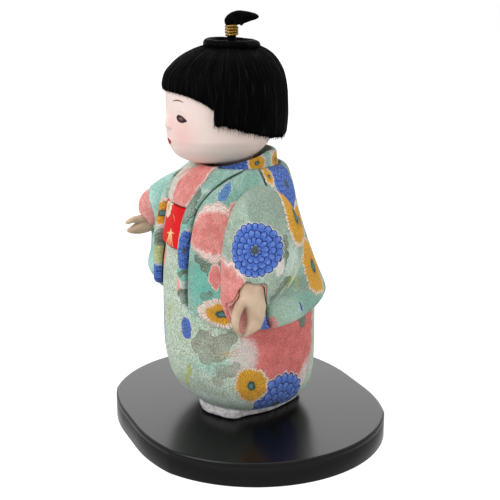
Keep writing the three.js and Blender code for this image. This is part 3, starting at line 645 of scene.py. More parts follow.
class Panel:
    """Side edges as angles by height, low and high edges as heights by angle, and two sheets."""

    def __init__(self, left, right, low, high, inner, outer):
        self.left = left
        self.right = right
        self.low = low
        self.high = high
        self.inner = inner
        self.outer = outer

    def places(self, columns, rows):
        u = np.linspace(0, 1, columns)[None, :]
        v = np.linspace(0, 1, rows)[:, None]
        zero = np.zeros((rows, columns))
        z = lerp(self.low(zero), self.high(zero), v) + 0 * u
        angle = zero
        for _ in range(EDGE_ROUNDS):
            angle = lerp(self.left(z), self.right(z), u)
            z = lerp(self.low(angle), self.high(angle), v)
        return angle, z

    def mesh(self, name, columns, rows, edge, low_edge, seed, pucker=0.1, padding=0.25):
        angle, z = self.places(columns, rows)
        inner = self.inner(angle, z)
        outer = self.outer(angle, z)
        across = np.linalg.norm(np.diff(outer, axis=1), axis=-1)
        along = np.linalg.norm(np.diff(outer, axis=0), axis=-1)
        from_left = np.concatenate([np.zeros((rows, 1)), np.cumsum(across, 1)], 1)
        from_low = np.concatenate([np.zeros((1, columns)), np.cumsum(along, 0)], 0)
        to_side = np.minimum(from_left, from_left[:, -1:] - from_left)
        to_end = np.minimum(from_low, from_low[-1:, :] - from_low)
        nearest = np.minimum(to_side, to_end)
        t = np.clip(nearest / edge, 0, 1)
        fullness = low_edge + (1 - low_edge) * np.sqrt(1 - (1 - t) ** 2)
        thickness = np.linalg.norm(outer - inner, axis=-1)
        away = (outer - inner) / thickness[..., None]
        s = np.radians(angle) * CLOTH_RADIUS
        by_side = pucker_noise(z * 0.62 + seed, s * 0.12)
        by_end = pucker_noise(s * 0.62 + seed, z * 0.12 + 9)
        gather = np.where(to_side < to_end, by_side, by_end)
        relief = pucker * bell(nearest, 2.6) * smooth(nearest, 0, 0.7) * gather
        relief = relief + padding * smooth(nearest, 0.5, 6) * padding_noise(s * 0.11 + seed, z * 0.09)
        full = inner + away * (thickness * fullness + relief)[..., None]
        return facing_out(pad_mesh(name, full, inner))


def side_seam(z):
    """Seam of front and back, which swings forward under the sleeve."""
    return SIDE_SEAM - SEAM_SWING * smooth(z, 68, 54) + SEAM_RETURN * smooth(z, 51, 44)


def jacket_hem(angle):
    t = np.abs(wrap_angle(angle))
    front = lerp(HEM_SIDE, HEM_FRONT, np.maximum(0, (HEM_SIDE_FROM - t) / HEM_FRONT_REACH) ** 1.6)
    back = lerp(HEM_SIDE, HEM_BACK, smooth(t, 85, 150))
    return np.where(t < HEM_SIDE_FROM, front, back)


def on_form(form, standoff):
    return lambda angle, z: form.point(angle, z, standoff + 0 * z)


on_body = on_form(body, CLOTH_GAP)


def flip_x(piece):
    move_points(piece, mesh_points(piece) * [-1, 1, 1])
    piece.data.flip_normals()
    return piece


def head_room():
    """The space that the head sweeps over the collars as it turns."""
    rooms = []
    for angle in HEAD_TURNS:
        room = form_solid(skull, HEAD_SECTIONS[0][0], HEAD_ROOM_TOP, SWEEP_GAP, sides=96, tiers=30)
        move_points(room, mesh_points(room) - [0, 0, SWEEP_GAP])
        rooms.append(turned(room, ((0, NECK_CENTRE_Y, 1), (0, NECK_CENTRE_Y, 0)), angle))
    return rooms


def opening_edge(z):
    """Left edge of what lies between the plackets."""
    return placket_inner(z) - angle_for(CLOTH_GAP, z)


def under_head(piece):
    return mark_round(combine(piece, "DIFFERENCE", head_room()))


def placket(side):
    panel = Panel(placket_inner, placket_outer, jacket_hem, always(JACKET_TOP), on_body,
                  on_form(jacket, PLACKET_PROUD))
    piece = panel.mesh("placket", columns=28, rows=140, edge=2.0, low_edge=0.45, padding=0.18,
                       seed=side * 11.0)
    return under_head(piece if side > 0 else flip_x(piece))


def jacket_front(side):
    panel = Panel(lambda z: placket_outer(z) + angle_for(SEAM_GAP, z),
                  lambda z: side_seam(z) - angle_for(CLOTH_GAP, z),
                  jacket_hem, always(JACKET_TOP), on_body, on_form(jacket, 0))
    piece = panel.mesh("front", columns=90, rows=130, edge=2.6, low_edge=0.35, seed=side * 23.0)
    return under_head(piece if side > 0 else flip_x(piece))


def jacket_back():
    def seam(z):
        return side_seam(z) + angle_for(SHOULDER_SLIT, z) * smooth(z, 93, 98)

    panel = Panel(seam, lambda z: 360 - seam(z), jacket_hem, always(JACKET_TOP), on_body,
                  on_form(jacket, 0))
    return mark_round(panel.mesh("back", columns=190, rows=120, edge=2.8, low_edge=0.35,
                                 padding=0.35, seed=37.0))


def neck_band():
    inset = -NECK_BAND_INSET - NECK_BAND_CLOTH
    panel = Panel(always(NECK_BAND_ANGLE), always(360 - NECK_BAND_ANGLE), always(NECK_BAND_BOTTOM),
                  lambda angle: NECK_BAND_TOP + NAPE_RISE * smooth(np.abs(wrap_angle(angle)), 34, 100),
                  lambda angle, z: body.level_point(angle, z, inset + 0 * z),
                  on_form(body, -NECK_BAND_INSET))
    return under_head(panel.mesh("neck", columns=160, rows=18, edge=1.6, low_edge=0.4,
                                 pucker=0.06, padding=0.1, seed=41.0))


def obi():
    panel = Panel(lambda z: -opening_edge(z), opening_edge, always(OBI_BOTTOM), always(OBI_TOP),
                  on_body, on_form(body, CLOTH_GAP + OBI_CLOTH))
    return mark_round(panel.mesh("obi", columns=56, rows=50, edge=1.1, low_edge=0.3,
                                 pucker=0.05, padding=0.12, seed=53.0))


def kimono_collar(side):
    if side > 0:
        edges = (lambda z: np.maximum(collar_edge(z), -opening_edge(z)), opening_edge)
        bottom = OBI_TOP + CLOTH_GAP
    else:
        edges = (lambda z: -opening_edge(z), lambda z: collar_edge(z) - angle_for(CLOTH_GAP, z))
        bottom = UNDER_COLLAR_BOTTOM
    panel = Panel(*edges, always(bottom), always(COLLAR_TOP), on_body,
                  on_form(body, CLOTH_GAP + COLLAR_CLOTH))
    return under_head(panel.mesh("collar", columns=50, rows=60, edge=1.5, low_edge=0.35,
                                 padding=0.1, seed=side * 61.0))


def skirt():
    angle = np.linspace(0, 360, 280, endpoint=False)[None, :]
    lift = np.linspace(0, 1, 110)[:, None]
    z = lerp(HEM, WAIST, lift ** 1.25)
    angle, z = np.broadcast_arrays(angle, z)
    turn = np.radians(angle)
    softness = padding_noise(6 * np.cos(turn) + 20, 6 * np.sin(turn) + z * 0.06)
    overlap = -0.5 * bell(wrap_angle(angle) + SKIRT_OVERLAP - 0.02 * z, 1.2) * smooth(z, HEM, 12)
    relief = 0.25 * softness * smooth(z, HEM, 20) - 0.1 + overlap
    outer = body.point(angle, z, relief)
    inner = body.level_point(angle, z, -SKIRT_CLOTH + 0 * z)[::-1]
    return mark_round(hoop_mesh("skirt", np.concatenate([outer, inner])))


# Sleeves and hands

def closed_curve(corners, count):
    """Even points on a smooth closed curve through the corners."""
    corners = np.array(corners, float)
    fine = []
    for i in range(len(corners)):
        p0, p1, p2, p3 = (corners[(i + k) % len(corners)] for k in (-1, 0, 1, 2))
        d0, d1, d2 = (np.sqrt(np.linalg.norm(b - a)) for a, b in ((p0, p1), (p1, p2), (p2, p3)))
        m1 = ((p1 - p0) / d0 - (p2 - p0) / (d0 + d1) + (p2 - p1) / d1) * d1
        m2 = ((p2 - p1) / d1 - (p3 - p1) / (d1 + d2) + (p3 - p2) / d2) * d1
        t = np.linspace(0, 1, 24, endpoint=False)[:, None]
        fine.append(p1 + m1 * t + (-3 * p1 + 3 * p2 - 2 * m1 - m2) * t ** 2
                    + (2 * p1 - 2 * p2 + m1 + m2) * t ** 3)
    fine = np.concatenate(fine)
    around = np.concatenate([fine, fine[:1]])
    length = run_along(around)
    even = np.linspace(0, length[-1], count, endpoint=False)
    return np.stack([np.interp(even, length, around[:, k]) for k in range(around.shape[1])], -1)


def pillow(corners, standoff=0.0, around=220, tiers=70):
    rim = closed_curve(corners, around)
    middle = rim.mean(0)
    out = rim - middle
    out /= np.linalg.norm(out, axis=1, keepdims=True)
    t = np.pi * np.linspace(0.012, 0.988, tiers)[:, None, None]
    spread = np.sin(t) ** SLEEVE_RIM_FULLNESS
    lift = np.sign(np.cos(t)) * np.abs(np.cos(t)) ** SLEEVE_FACE_FULLNESS
    place = lerp(middle, rim, spread) + out * standoff * spread
    centre = lerp(SLEEVE_BOTTOM_X, SLEEVE_TOP_X, (place[..., 1:] - SLEEVE_BOTTOM) / SLEEVE_HEIGHT)
    x = centre - (SLEEVE_HALF + standoff) * lift
    return facing_out(loft_mesh("pillow", np.concatenate([x, place], -1)))


def limb(stations, standoff, across, up, sides=28, steps=6):
    """Limb with rounded sides through stations of a centre and two half sizes."""
    rows = np.array([[*at, wide, tall] for at, wide, tall in stations], float)
    length = run_along(rows[:, :3])
    curve = Curve(np.column_stack([length, rows]))
    values = curve(np.linspace(0, length[-1], steps * (len(rows) - 1) + 1))
    turn = full_turn(sides)[None, :, None]
    right = np.sign(np.cos(turn)) * np.abs(np.cos(turn)) ** HAND_SQUARENESS
    upward = np.sign(np.sin(turn)) * np.abs(np.sin(turn)) ** HAND_SQUARENESS
    wide = (values[:, None, 3:4] + standoff) * right * np.array(across)
    tall = (values[:, None, 4:5] + standoff) * upward * np.array(up)
    return facing_out(loft_mesh("limb", values[:, None, :3] + wide + tall))


HANDS = {
    "left": (LEFT_PALM, LEFT_THUMB, (1, 0, 0), (0, 1, 0), LEFT_WRIST, LEFT_HAND_TURNS),
    "right": (RIGHT_PALM, RIGHT_THUMB, (1, 0, 0), (0, 0, 1), RIGHT_WRIST, RIGHT_HAND_TURNS),
}


def hand_limbs(name, standoff):
    palm, thumb, across, up = HANDS[name][:4]
    return [limb(stations, standoff, across, up) for stations in (palm, thumb)]


def hand_rooms(name, gap=SWEEP_GAP):
    peg, turns = HANDS[name][4:]
    return [turned(part, peg, angle) for angle in turns for part in hand_limbs(name, gap)]


def palm_end_room(name):
    """Room behind the palm's inner end, which lies in the soft sleeve."""
    palm = HANDS[name][0]
    inner, radius = palm[0][:2]
    outer = palm[1][0]
    back = np.array(inner) - outer
    back = back / np.linalg.norm(back)
    return bar(inner + back * SOFT_SWEEP_GAP, outer, radius + SOFT_SWEEP_GAP)


def wrist_bore(name, gap):
    start, end = HANDS[name][4]
    return bar(start, end, WRIST_PEG_RADIUS + gap)


def jacket_room():
    return form_solid(jacket, JACKET_ROOM_BOTTOM, JACKET_TOP, SLEEVE_GAP)


def mark_sleeve(piece):
    """Marks the cloth along the outer side and round its front and back edges."""
    points = mesh_points(piece)
    centre = lerp(SLEEVE_BOTTOM_X, SLEEVE_TOP_X, (points[:, 2] - SLEEVE_BOTTOM) / SLEEVE_HEIGHT)
    depth = np.clip(centre + SLEEVE_HALF - np.abs(points[:, 0]), 0, SLEEVE_HALF)
    edge = np.clip((points[:, 1] - SLEEVE_MIDDLE_Y) / SLEEVE_EDGE_REACH, -1, 1)
    return mark(piece, np.stack([points[:, 1] + 0.9 * depth * edge, points[:, 0], points[:, 2]], -1))


def window(standoff, floor):
    """The opening of the left cuff, from its floor outwards."""
    rim = closed_curve(LEFT_CUFF, 140)
    out = rim - rim.mean(0)
    rim = rim + out / np.linalg.norm(out, axis=1, keepdims=True) * standoff
    rings = [np.column_stack([np.full(len(rim), x), rim]) for x in (floor, floor + LEFT_CUFF_REACH)]
    return facing_out(loft_mesh("window", rings))


def sleeve(name):
    left = name == "left"
    shape = pillow(LEFT_SLEEVE if left else RIGHT_SLEEVE)
    if left:
        cuff = window(SEAT_GAP, LEFT_CUFF_FLOOR - SEAT_GAP)
        rooms = hand_rooms(name)
    else:
        flip_x(shape)
        centre, radii = RIGHT_CUFF
        cuff = ball(centre, np.array(radii) + SEAT_GAP)
        rooms = [*hand_rooms(name, SOFT_SWEEP_GAP), palm_end_room(name)]
    combine(shape, "DIFFERENCE", [jacket_room(), cuff, *rooms, wrist_bore(name, RUNNING_GAP)])
    soften(shape, SLEEVE_VOXEL, rounds=4)
    points = mesh_points(shape)
    swell = 0.22 * padding_noise(points[:, 1] * 0.12 + 31, points[:, 2] * 0.12)
    swell = swell + 0.07 * pucker_noise(points[:, 1] * 0.5, points[:, 2] * 0.5)
    normals = read_vectors(shape.data.vertex_normals, "vector")
    move_points(shape, points + normals * (swell - 0.05)[:, None])
    return mark_sleeve(shape)


def left_lining():
    dish = window(0.0, LEFT_CUFF_FLOOR)
    combine(dish, "DIFFERENCE", [window(-LINING_CLOTH, LEFT_CUFF_FLOOR + LINING_CLOTH)])
    combine(dish, "INTERSECT", [pillow(LEFT_SLEEVE, LEFT_CUFF_RIM)])
    combine(dish, "DIFFERENCE", [*hand_rooms("left"), jacket_room()])
    return mark_flat(soften(dish, LINING_VOXEL, rounds=3))


def right_lining():
    centre, radii = RIGHT_CUFF
    cushion = ball(centre, radii)
    combine(cushion, "DIFFERENCE", [*hand_rooms("right"), wrist_bore("right", RUNNING_GAP)])
    return mark_flat(soften(cushion, CUSHION_VOXEL, rounds=3))


def hand(name):
    palm, thumb = hand_limbs(name, 0.0)
    combine(palm, "UNION", [thumb])
    soften(palm, HAND_VOXEL, rounds=6)
    combine(palm, "DIFFERENCE", [wrist_bore(name, SEAT_GAP)])
    return mark_flat(palm)


# Head and hair

def head():
    angle = np.linspace(0, 360, 300, endpoint=False)[None, :]
    z = np.linspace(HEAD_SECTIONS[0][0], HEAD_SECTIONS[-1][0], 200)[:, None] + 0 * angle
    shape = facing_out(loft_mesh("head", skull.skin(angle + 0 * z, z)))
    neck = bar((0, NECK_CENTRE_Y, NECK_BOTTOM), (0, NECK_CENTRE_Y, NECK_TOP), NECK_RADIUS, sides=64)
    bore = bar((0, NECK_CENTRE_Y, NECK_BOTTOM - 1), (0, NECK_CENTRE_Y, NECK_PEG_TOP + SEAT_GAP),
               NECK_PEG_RADIUS + RUNNING_GAP)
    combine(shape, "UNION", [neck])
    combine(shape, "DIFFERENCE", [bore])
    return mark_round(shape, skull)


def bob_hem(angle):
    t = np.abs(wrap_angle(angle))
    hem = lerp(BOB_TEMPLE, BOB_BACK, smooth(t, TEMPLE - 10, 140))
    ragged = 0.5 * strand_noise(t * 0.6, 0) + 0.8 * np.abs(strand_noise(t * 2.1, 4))
    return hem + ragged


def fringe_hem(angle):
    t = np.minimum(1, np.abs(wrap_angle(angle)) / TEMPLE)
    return lerp(FRINGE_FRONT, FRINGE_TEMPLE, t ** 3) + 0.2 * strand_noise(np.asarray(angle) * 4.1, 8)


def strands(angle, z):
    """Height of the combed hair at a place: locks, and the hairs in them."""
    drift = angle + 0.35 * strand_noise(z * 0.05, angle * 0.05)
    locks = 0.22 * strand_noise(drift * 0.33, z * 0.035 + 3)
    fine = 0.09 * strand_noise(drift * 1.9, z * 0.03 + 30)
    fine = fine + 0.05 * strand_noise(drift * 4.4, z * 0.03 + 60)
    return locks + fine


def hairs(roots, tips, bulge, thick):
    """Fine hairs, each a tapered three-sided strand from its root to its tip."""
    steps = np.linspace(0, 1, LOOSE_HAIR_STEPS)[None, :, None]
    middle = (roots + tips) / 2 + bulge
    path = (1 - steps) ** 2 * roots[:, None] + 2 * steps * (1 - steps) * middle[:, None]
    path = path + steps ** 2 * tips[:, None]
    turn = np.radians([0, 120, 240])
    ring = np.stack([np.cos(turn), np.sin(turn), 0 * turn], -1)
    size = thick[:, None, None] * (1 - 0.85 * steps)
    points = path[:, :, None] + size[:, :, None] * ring
    corners = LOOSE_HAIR_STEPS * LOOSE_HAIR_SIDES
    faces = []
    for start in range(0, len(roots) * corners, corners):
        end = start + corners
        faces += grid_faces(LOOSE_HAIR_STEPS, LOOSE_HAIR_SIDES, start, wrap=True)
        faces += [[start + 2, start + 1, start], [end - 3, end - 2, end - 1]]
    return points.reshape(-1, 3), faces


def hair_shell(left, right, hem, columns, rows, seed, count, loose_end):
    scalp = on_form(hair, -HAIR_THICKNESS)
    panel = Panel(always(left), always(right), hem, always(HAIR_TOP), scalp, on_form(hair, 0))
    angle, z = panel.places(columns, rows)
    inner = scalp(angle, z)
    to_hem = z - z[:1]
    tip = 0.45 + 0.55 * np.sqrt(1 - (1 - np.clip(to_hem / 2.2, 0, 1)) ** 2)
    to_side = np.minimum(angle - left, right - angle) * 0.4
    side = 0.96 + 0.04 * np.sqrt(1 - (1 - np.clip(to_side / 1.3, 0, 1)) ** 2)
    relief = (np.minimum(tip, side) - 1) * HAIR_THICKNESS + strands(angle, z) - 0.05
    outer = hair.point(angle, z, relief)
    shell = facing_out(pad_mesh("hair", outer, inner))
    random = np.random.default_rng(seed)
    where = random.uniform(left, right, count)
    edge = hem(where)
    depth = random.uniform(-1.5, -0.15, count)
    roots = hair.point(where, edge + random.uniform(2, 4, count), depth)
    sway = random.normal(0, 0.8, count)
    tips = hair.point(where + sway, edge - random.gamma(1.6, loose_end, count), depth)
    loose, faces = hairs(roots, tips, np.zeros(3), random.uniform(0.1, 0.24, count))
    return shell, loose, faces


def hair_bob():
    shell, loose, faces = hair_shell(TEMPLE + PARTING, 360 - TEMPLE - PARTING, bob_hem, columns=760,
                                     rows=70, seed=17, count=700, loose_end=BOB_TIPS)
    random = np.random.default_rng(29)
    around = random.uniform(120, 200, STRAYS)
    roots = hair.point(around, random.uniform(147, 151, STRAYS), -0.3 + 0 * around)
    tips = hair.point(around, random.uniform(114, 124, STRAYS), random.uniform(0.6, 2.2, STRAYS))
    bulge = hair.normal(around, 138) * random.uniform(0.8, 1.8, STRAYS)[:, None]
    strays, more = hairs(roots, tips, bulge, np.full(STRAYS, 0.07))
    faces = faces + [[corner + len(loose) for corner in face] for face in more]
    return combed(shell, np.concatenate([loose, strays]), faces)


def hair_fringe():
    return combed(*hair_shell(-TEMPLE, TEMPLE, fringe_hem, columns=420, rows=60, seed=19, count=300,
                              loose_end=FRINGE_TIPS))


def combed(shell, loose, faces):
    """Joins loose hairs to a shell of hair."""
    points = mesh_points(shell)
    whole = [list(face.vertices) for face in shell.data.polygons]
    whole += [[corner + len(points) for corner in face] for face in faces]
    remove_piece(shell)
    return mark_round(new_mesh("hair", np.concatenate([points, loose]), whole), hair)


def lathe(name, profile, centre_y, sides, relief):
    """Turned piece from a closed profile of radius and height, with a relief on it."""
    profile = np.array(profile, float)
    turn = full_turn(sides)
    outward, upward = relief(np.arange(len(profile))[:, None], turn[None, :])
    radius = profile[:, :1] + outward
    z = profile[:, 1:] + upward
    rings = [radius * np.cos(turn), centre_y + radius * np.sin(turn), z]
    return hoop_mesh(name, np.stack(rings, -1))


def hair_ring():
    inside = STEM_RADIUS + SEAT_GAP
    roll_centre = RING_RADIUS - RING_ROLL
    height = RING_BOTTOM + RING_ROLL
    profile = [(inside, height - RING_ROLL)]
    for t in np.radians(np.linspace(-90, 155, 34)):
        profile.append((roll_centre + RING_ROLL * math.cos(t), height + RING_ROLL * math.sin(t)))
    profile.append((roll_centre - RING_ROLL * 1.4, height + RING_ROLL - RING_DISH * 1.25))
    profile.append((lerp(inside, roll_centre, 0.4), height + RING_ROLL - RING_DISH * 1.55))
    profile.append((inside, height + RING_ROLL - RING_DISH * 1.5))
    out = np.array(profile) - [roll_centre, height]
    out /= np.maximum(np.linalg.norm(out, axis=1, keepdims=True), 1)

    def wound(row, turn):
        amount = 0.09 * strand_noise(np.degrees(turn) * 0.55 + row * 0.4, row * 0.15)
        amount = amount + 0.12 * strand_noise(np.degrees(turn) * 0.05, row * 0.2 + 5) - 0.12
        share = out[row.ravel()]
        return share[:, :1] * amount, share[:, 1:] * amount

    ring = lathe("ring", profile, KNOT_Y, sides=520, relief=wound)
    points = mesh_points(ring)
    back = (points[:, 1] - KNOT_Y) / RING_RADIUS
    points[:, 2] -= RING_DROP * (back + 1) / 2 + RING_ARCH * back ** 2
    move_points(ring, points)
    return mark_round(ring, hair)


def topknot_stem():
    z = np.linspace(HAIR_TOP - 0.8, STEM_TOP, 40)[:, None]
    turn = full_turn(120)[None, :]
    pinch = 0.22 * bell(z - BINDING_BOTTOM - 1.8, 2.4)
    radius = STEM_RADIUS - pinch + 0.07 * strand_noise(np.degrees(turn) * 0.16, z * 0.1)
    rings = np.stack([radius * np.cos(turn), KNOT_Y + radius * np.sin(turn), z + 0 * turn], -1)
    return mark_round(facing_out(loft_mesh("stem", rings)), hair)


def topknot_cord():
    """Twisted gold cord wound round the stem."""
    t = np.linspace(0, 1, 700)
    angle = t * BINDING_TURNS * 2 * np.pi - np.pi / 2
    out = np.stack([np.cos(angle), np.sin(angle), 0 * angle], -1)
    path = BINDING_REACH * out + [0, KNOT_Y, 0]
    path[:, 2] = BINDING_BOTTOM + BINDING_RADIUS + t * BINDING_TURNS * BINDING_PITCH
    turn = full_turn(24)[None, :]
    twist = t[:, None] * BINDING_TURNS * 2 * np.pi * BINDING_TWISTS
    size = BINDING_RADIUS * (0.86 + 0.14 * np.abs(np.cos(1.5 * (turn - twist))))
    rings = path[:, None] + out[:, None] * (size * np.cos(turn))[..., None]
    rings[..., 2] += size * np.sin(turn)
    return facing_out(loft_mesh("cord", rings))


def topknot_tail():
    length = [0.0]
    for (a, *_), (b, *_) in zip(TAIL, TAIL[1:]):
        length.append(length[-1] + math.dist(a, b))
    rows = [(d, y, z, wide, tall, lean) for d, ((y, z), wide, tall, lean) in zip(length, TAIL)]
    values = Curve(rows)(np.linspace(0, length[-1], 90))
    turn = full_turn(150)[None, :]
    along = np.linspace(0, 1, 90)[:, None]
    lean = np.radians(values[:, 4:5])
    combing = strand_noise(np.degrees(turn) * 0.17 + along * 3, along * 3)
    comb = 1 + 0.05 * combing * np.minimum(1, along * 8)
    wide = values[:, 2:3] * TAIL_NARROWING * comb * np.cos(turn)
    tall = values[:, 3:4] * comb * np.sin(turn)
    y = KNOT_Y + values[:, 0:1] + tall * np.cos(lean)
    z = values[:, 1:2] - tall * np.sin(lean)
    return mark_round(facing_out(loft_mesh("tail", np.stack([wide, y, z], -1))), hair)


# Stand and foot

def stand_outline(inset, fine=16):
    reach = STAND_LENGTH / 2 - inset
    radius = STAND_END_RADIUS - inset
    centre = reach - radius
    depth = STAND_DEPTH / 2 - inset
    meet = math.asin(min(0.999, depth / radius))
    near = meet - STAND_CORNER / radius
    corner = centre + radius * math.cos(meet)
    quarter = []
    start = np.array([corner - STAND_CORNER, -depth])
    middle = np.array([corner, -depth])
    end = np.array([centre + radius * math.cos(near), -radius * math.sin(near)])
    for t in np.linspace(0, 1, fine, endpoint=False):
        quarter.append((1 - t) ** 2 * start + 2 * t * (1 - t) * middle + t * t * end)
    for t in np.linspace(-near, 0, fine * 3, endpoint=False):
        quarter.append(np.array([centre + radius * math.cos(t), radius * math.sin(t)]))
    quarter = np.array(quarter)
    tip = np.array([[reach, 0.0]])
    half = np.concatenate([quarter, tip, quarter[::-1] * [1, -1]])
    return np.concatenate([half, half * [-1, -1]])


def peg_bores(low, high):
    """Bores for the two stand pegs."""
    bores = []
    for side in (-1, 1):
        x = side * FOOT_PEG_X
        bores.append(bar((x, 0, low), (x, 0, high), FOOT_PEG_RADIUS + SEAT_GAP))
    return bores


def display_stand():
    thick = STAND_TOP
    levels = STAND_FOOT_BEVEL + [(thick - STAND_EDGE + z, inset) for z, inset in STAND_LINE]
    for t in np.radians(np.linspace(0, 90, 8)):
        levels.append((thick - STAND_EDGE * (1 - math.sin(t)), STAND_EDGE * (1 - math.cos(t))))
    rings = []
    for z, inset in levels:
        outline = stand_outline(inset)
        rings.append(np.column_stack([outline, np.full(len(outline), z - thick)]))
    slab = facing_out(loft_mesh("stand", rings))
    combine(slab, "DIFFERENCE", peg_bores(-FOOT_PEG_IN_STAND - SEAT_GAP, 1))
    for face in slab.data.polygons:
        face.use_smooth = abs(face.normal.z) < 0.99
    return slab


def foot_block():
    """Block wrapped in white cloth."""
    outline = closed_curve(FOOT_OUTLINE, 260)
    out = outline / np.linalg.norm(outline, axis=1, keepdims=True)
    step = np.arange(len(outline))
    rings = []
    for z, share in FOOT_PROFILE:
        crease = 0.2 * pucker_noise(step * 0.17, z * 0.7)
        crease = crease + 0.12 * pucker_noise(step * 0.5, z * 1.1 + 4)
        place = outline * share + out * (crease - 0.1)[:, None]
        rings.append(np.column_stack([place, np.full(len(outline), z)]))
    block = facing_out(loft_mesh("foot", rings))
    return mark_flat(combine(block, "DIFFERENCE", peg_bores(-2, 9)))


# Camera, at the photograph's view

def camera():
    data = bpy.data.cameras.new("photo_camera")
    data.lens = CAMERA_LENS
    data.sensor_width = CAMERA_SENSOR
    data.clip_start = CAMERA_NEAREST
    eye = bpy.data.objects.new("photo_camera", data)
    bpy.context.scene.collection.objects.link(eye)
    eye.location = Vector(CAMERA_PLACE) * MM
    target = Vector(CAMERA_TARGET) * MM
    eye.rotation_euler = (target - eye.location).to_track_quat("-Z", "Y").to_euler()
    bpy.context.scene.camera = eye


camera()


# Shader maths

class Value:
    """A number or a vector in a material, with arithmetic on numbers."""

    def __init__(self, finish, socket):
        self.finish = finish
        self.socket = socket

    def math(self, operation, *values):
        return self.finish.node("ShaderNodeMath", {"operation": operation}, dict(enumerate(values)))

    def __add__(self, other):
        return self.math("ADD", self, other)

    def __sub__(self, other):
        return self.math("SUBTRACT", self, other)

    def __mul__(self, other):
        return self.math("MULTIPLY", self, other)

    def __truediv__(self, other):
        return self.math("DIVIDE", self, other)

    def __radd__(self, other):
        return self.math("ADD", other, self)

    def __rsub__(self, other):
        return self.math("SUBTRACT", other, self)

    def __rmul__(self, other):
        return self.math("MULTIPLY", other, self)

    def __rtruediv__(self, other):
        return self.math("DIVIDE", other, self)

    def __pow__(self, other):
        return self.math("POWER", self, other)

    def __abs__(self):
        return self.math("ABSOLUTE", self)

    def sine(self):
        return self.math("SINE", self)

    def cosine(self):
        return self.math("COSINE", self)

    def root(self):
        return self.math("SQRT", self)

    def floor(self):
        return self.math("FLOOR", self)

    def part(self):
        return self.math("FRACT", self)

    def least(self, other):
        return self.math("MINIMUM", self, other)

    def most(self, other):
        return self.math("MAXIMUM", self, other)


def dye(code):
    """Colour from its six-digit code."""
    channels = [int(code[i:i + 2], 16) / 255 for i in (0, 2, 4)]
    linear = [c / 12.92 if c <= 0.04045 else ((c + 0.055) / 1.055) ** 2.4 for c in channels]
    return (*linear, 1.0)


class Finish:
    """A material and the nodes that draw it."""

    def __init__(self, name):
        self.material = bpy.data.materials.new(name)
        self.material.use_nodes = True
        self.tree = self.material.node_tree
        self.tree.nodes.clear()

    def node(self, kind, settings=None, values=None, out=0):
        made = self.tree.nodes.new(kind)
        for name, setting in (settings or {}).items():
            setattr(made, name, setting)
        for name, value in (values or {}).items():
            if isinstance(value, Value):
                self.tree.links.new(value.socket, made.inputs[name])
            else:
                made.inputs[name].default_value = value
        return Value(self, made.outputs[out])

    def step(self, value, low, high):
        """0 at low, 1 at high, smooth between."""
        return self.node("ShaderNodeMapRange", {"interpolation_type": "SMOOTHSTEP"},
                         {"Value": value, "From Min": low, "From Max": high})

    def mix(self, first, second, share):
        return self.node("ShaderNodeMix", {"data_type": "RGBA"}, {0: share, 6: first, 7: second}, 2)

    def attribute(self, name):
        return self.node("ShaderNodeAttribute", {"attribute_name": name}, None, "Vector")

    def split(self, vector):
        node = self.node("ShaderNodeSeparateXYZ", None, {0: vector}).socket.node
        return [Value(self, socket) for socket in node.outputs]

    def join(self, x, y, z=0.0):
        return self.node("ShaderNodeCombineXYZ", None, {0: x, 1: y, 2: z})

    def real_place(self):
        """Place on the object in millimetres."""
        place = self.node("ShaderNodeTexCoord", None, None, "Object")
        return self.node("ShaderNodeVectorMath", {"operation": "SCALE"}, {0: place, "Scale": 1 / MM})

    def noise(self, place, scale, detail=2.0, rough=0.5):
        return self.node("ShaderNodeTexNoise", None,
                         {"Vector": place, "Scale": scale, "Detail": detail, "Roughness": rough})

    def cells(self, place, scale, feature="F1"):
        return self.node("ShaderNodeTexVoronoi", {"feature": feature}, {"Vector": place, "Scale": scale},
                         "Distance")

    def bump(self, height, distance, strength):
        values = {"Height": height, "Distance": distance * MM, "Strength": strength}
        return self.node("ShaderNodeBump", None, values, "Normal")

    def times(self, colour, shade):
        return self.node("ShaderNodeMix", {"data_type": "RGBA", "blend_type": "MULTIPLY"},
                         {0: 1.0, 6: colour, 7: shade}, 2)

    def surface(self, colour, roughness, normal, sockets=None):
        values = {"Base Color": colour, "Roughness": roughness, "Normal": normal, **(sockets or {})}
        return self.done(self.node("ShaderNodeBsdfPrincipled", None, values))

    def done(self, shader):
        output = self.tree.nodes.new("ShaderNodeOutputMaterial")
        self.tree.links.new(shader.socket, output.inputs["Surface"])
        return self.material


# Weaves, inks and colours

TWILL_PITCH = 0.95
WARP_PITCH = 0.7
WEFT_PITCH = 0.55
WHITE_INK = dye("e9e1da")
BLUE_INKS = (dye("4e73c6"), dye("202f80"), dye("93aee6"), dye("55604e"))
DEEP_BLUE_INKS = (dye("5479cc"), dye("1f3276"), dye("93b2ea"), dye("3d4c48"))
TEAL_BLUE_INKS = (dye("5b86bd"), dye("3a6a9a"), dye("86b4c8"), dye("4c8a9a"))
PALE_BLUE_INKS = (dye("7f9acb"), dye("4a64a0"), dye("a3b8dc"), dye("55604e"))
YELLOW_INKS = (dye("e3a936"), dye("b3771d"), dye("efe6dc"), (dye("3c544c"), dye("5b8a86")))
ROSE_INKS = (dye("eb9a93"), dye("df837c"), dye("f2e0d8"), dye("b88d78"))
BROCADE_INKS = (dye("e7dcc2"), dye("b5873f"), dye("f2ead8"), (dye("c9a45a"), dye("a5161d")))
DARK_ROSE_INKS = (dye("df7d78"), dye("d2706b"), dye("dccac2"), dye("b08a80"))
LEAF_INKS = (dye("8d9b8a"), dye("4f6152"))
PALE_LEAF_INKS = (dye("b4b8a6"), dye("72786a"))
MINT = dye("cfe2d3")
PALE_MINT = dye("deece4")
JADE = dye("86b3a4")
PALE_JADE = dye("a5c6b9")
SAGE = dye("93a697")
TURQUOISE = dye("6ec4b4")
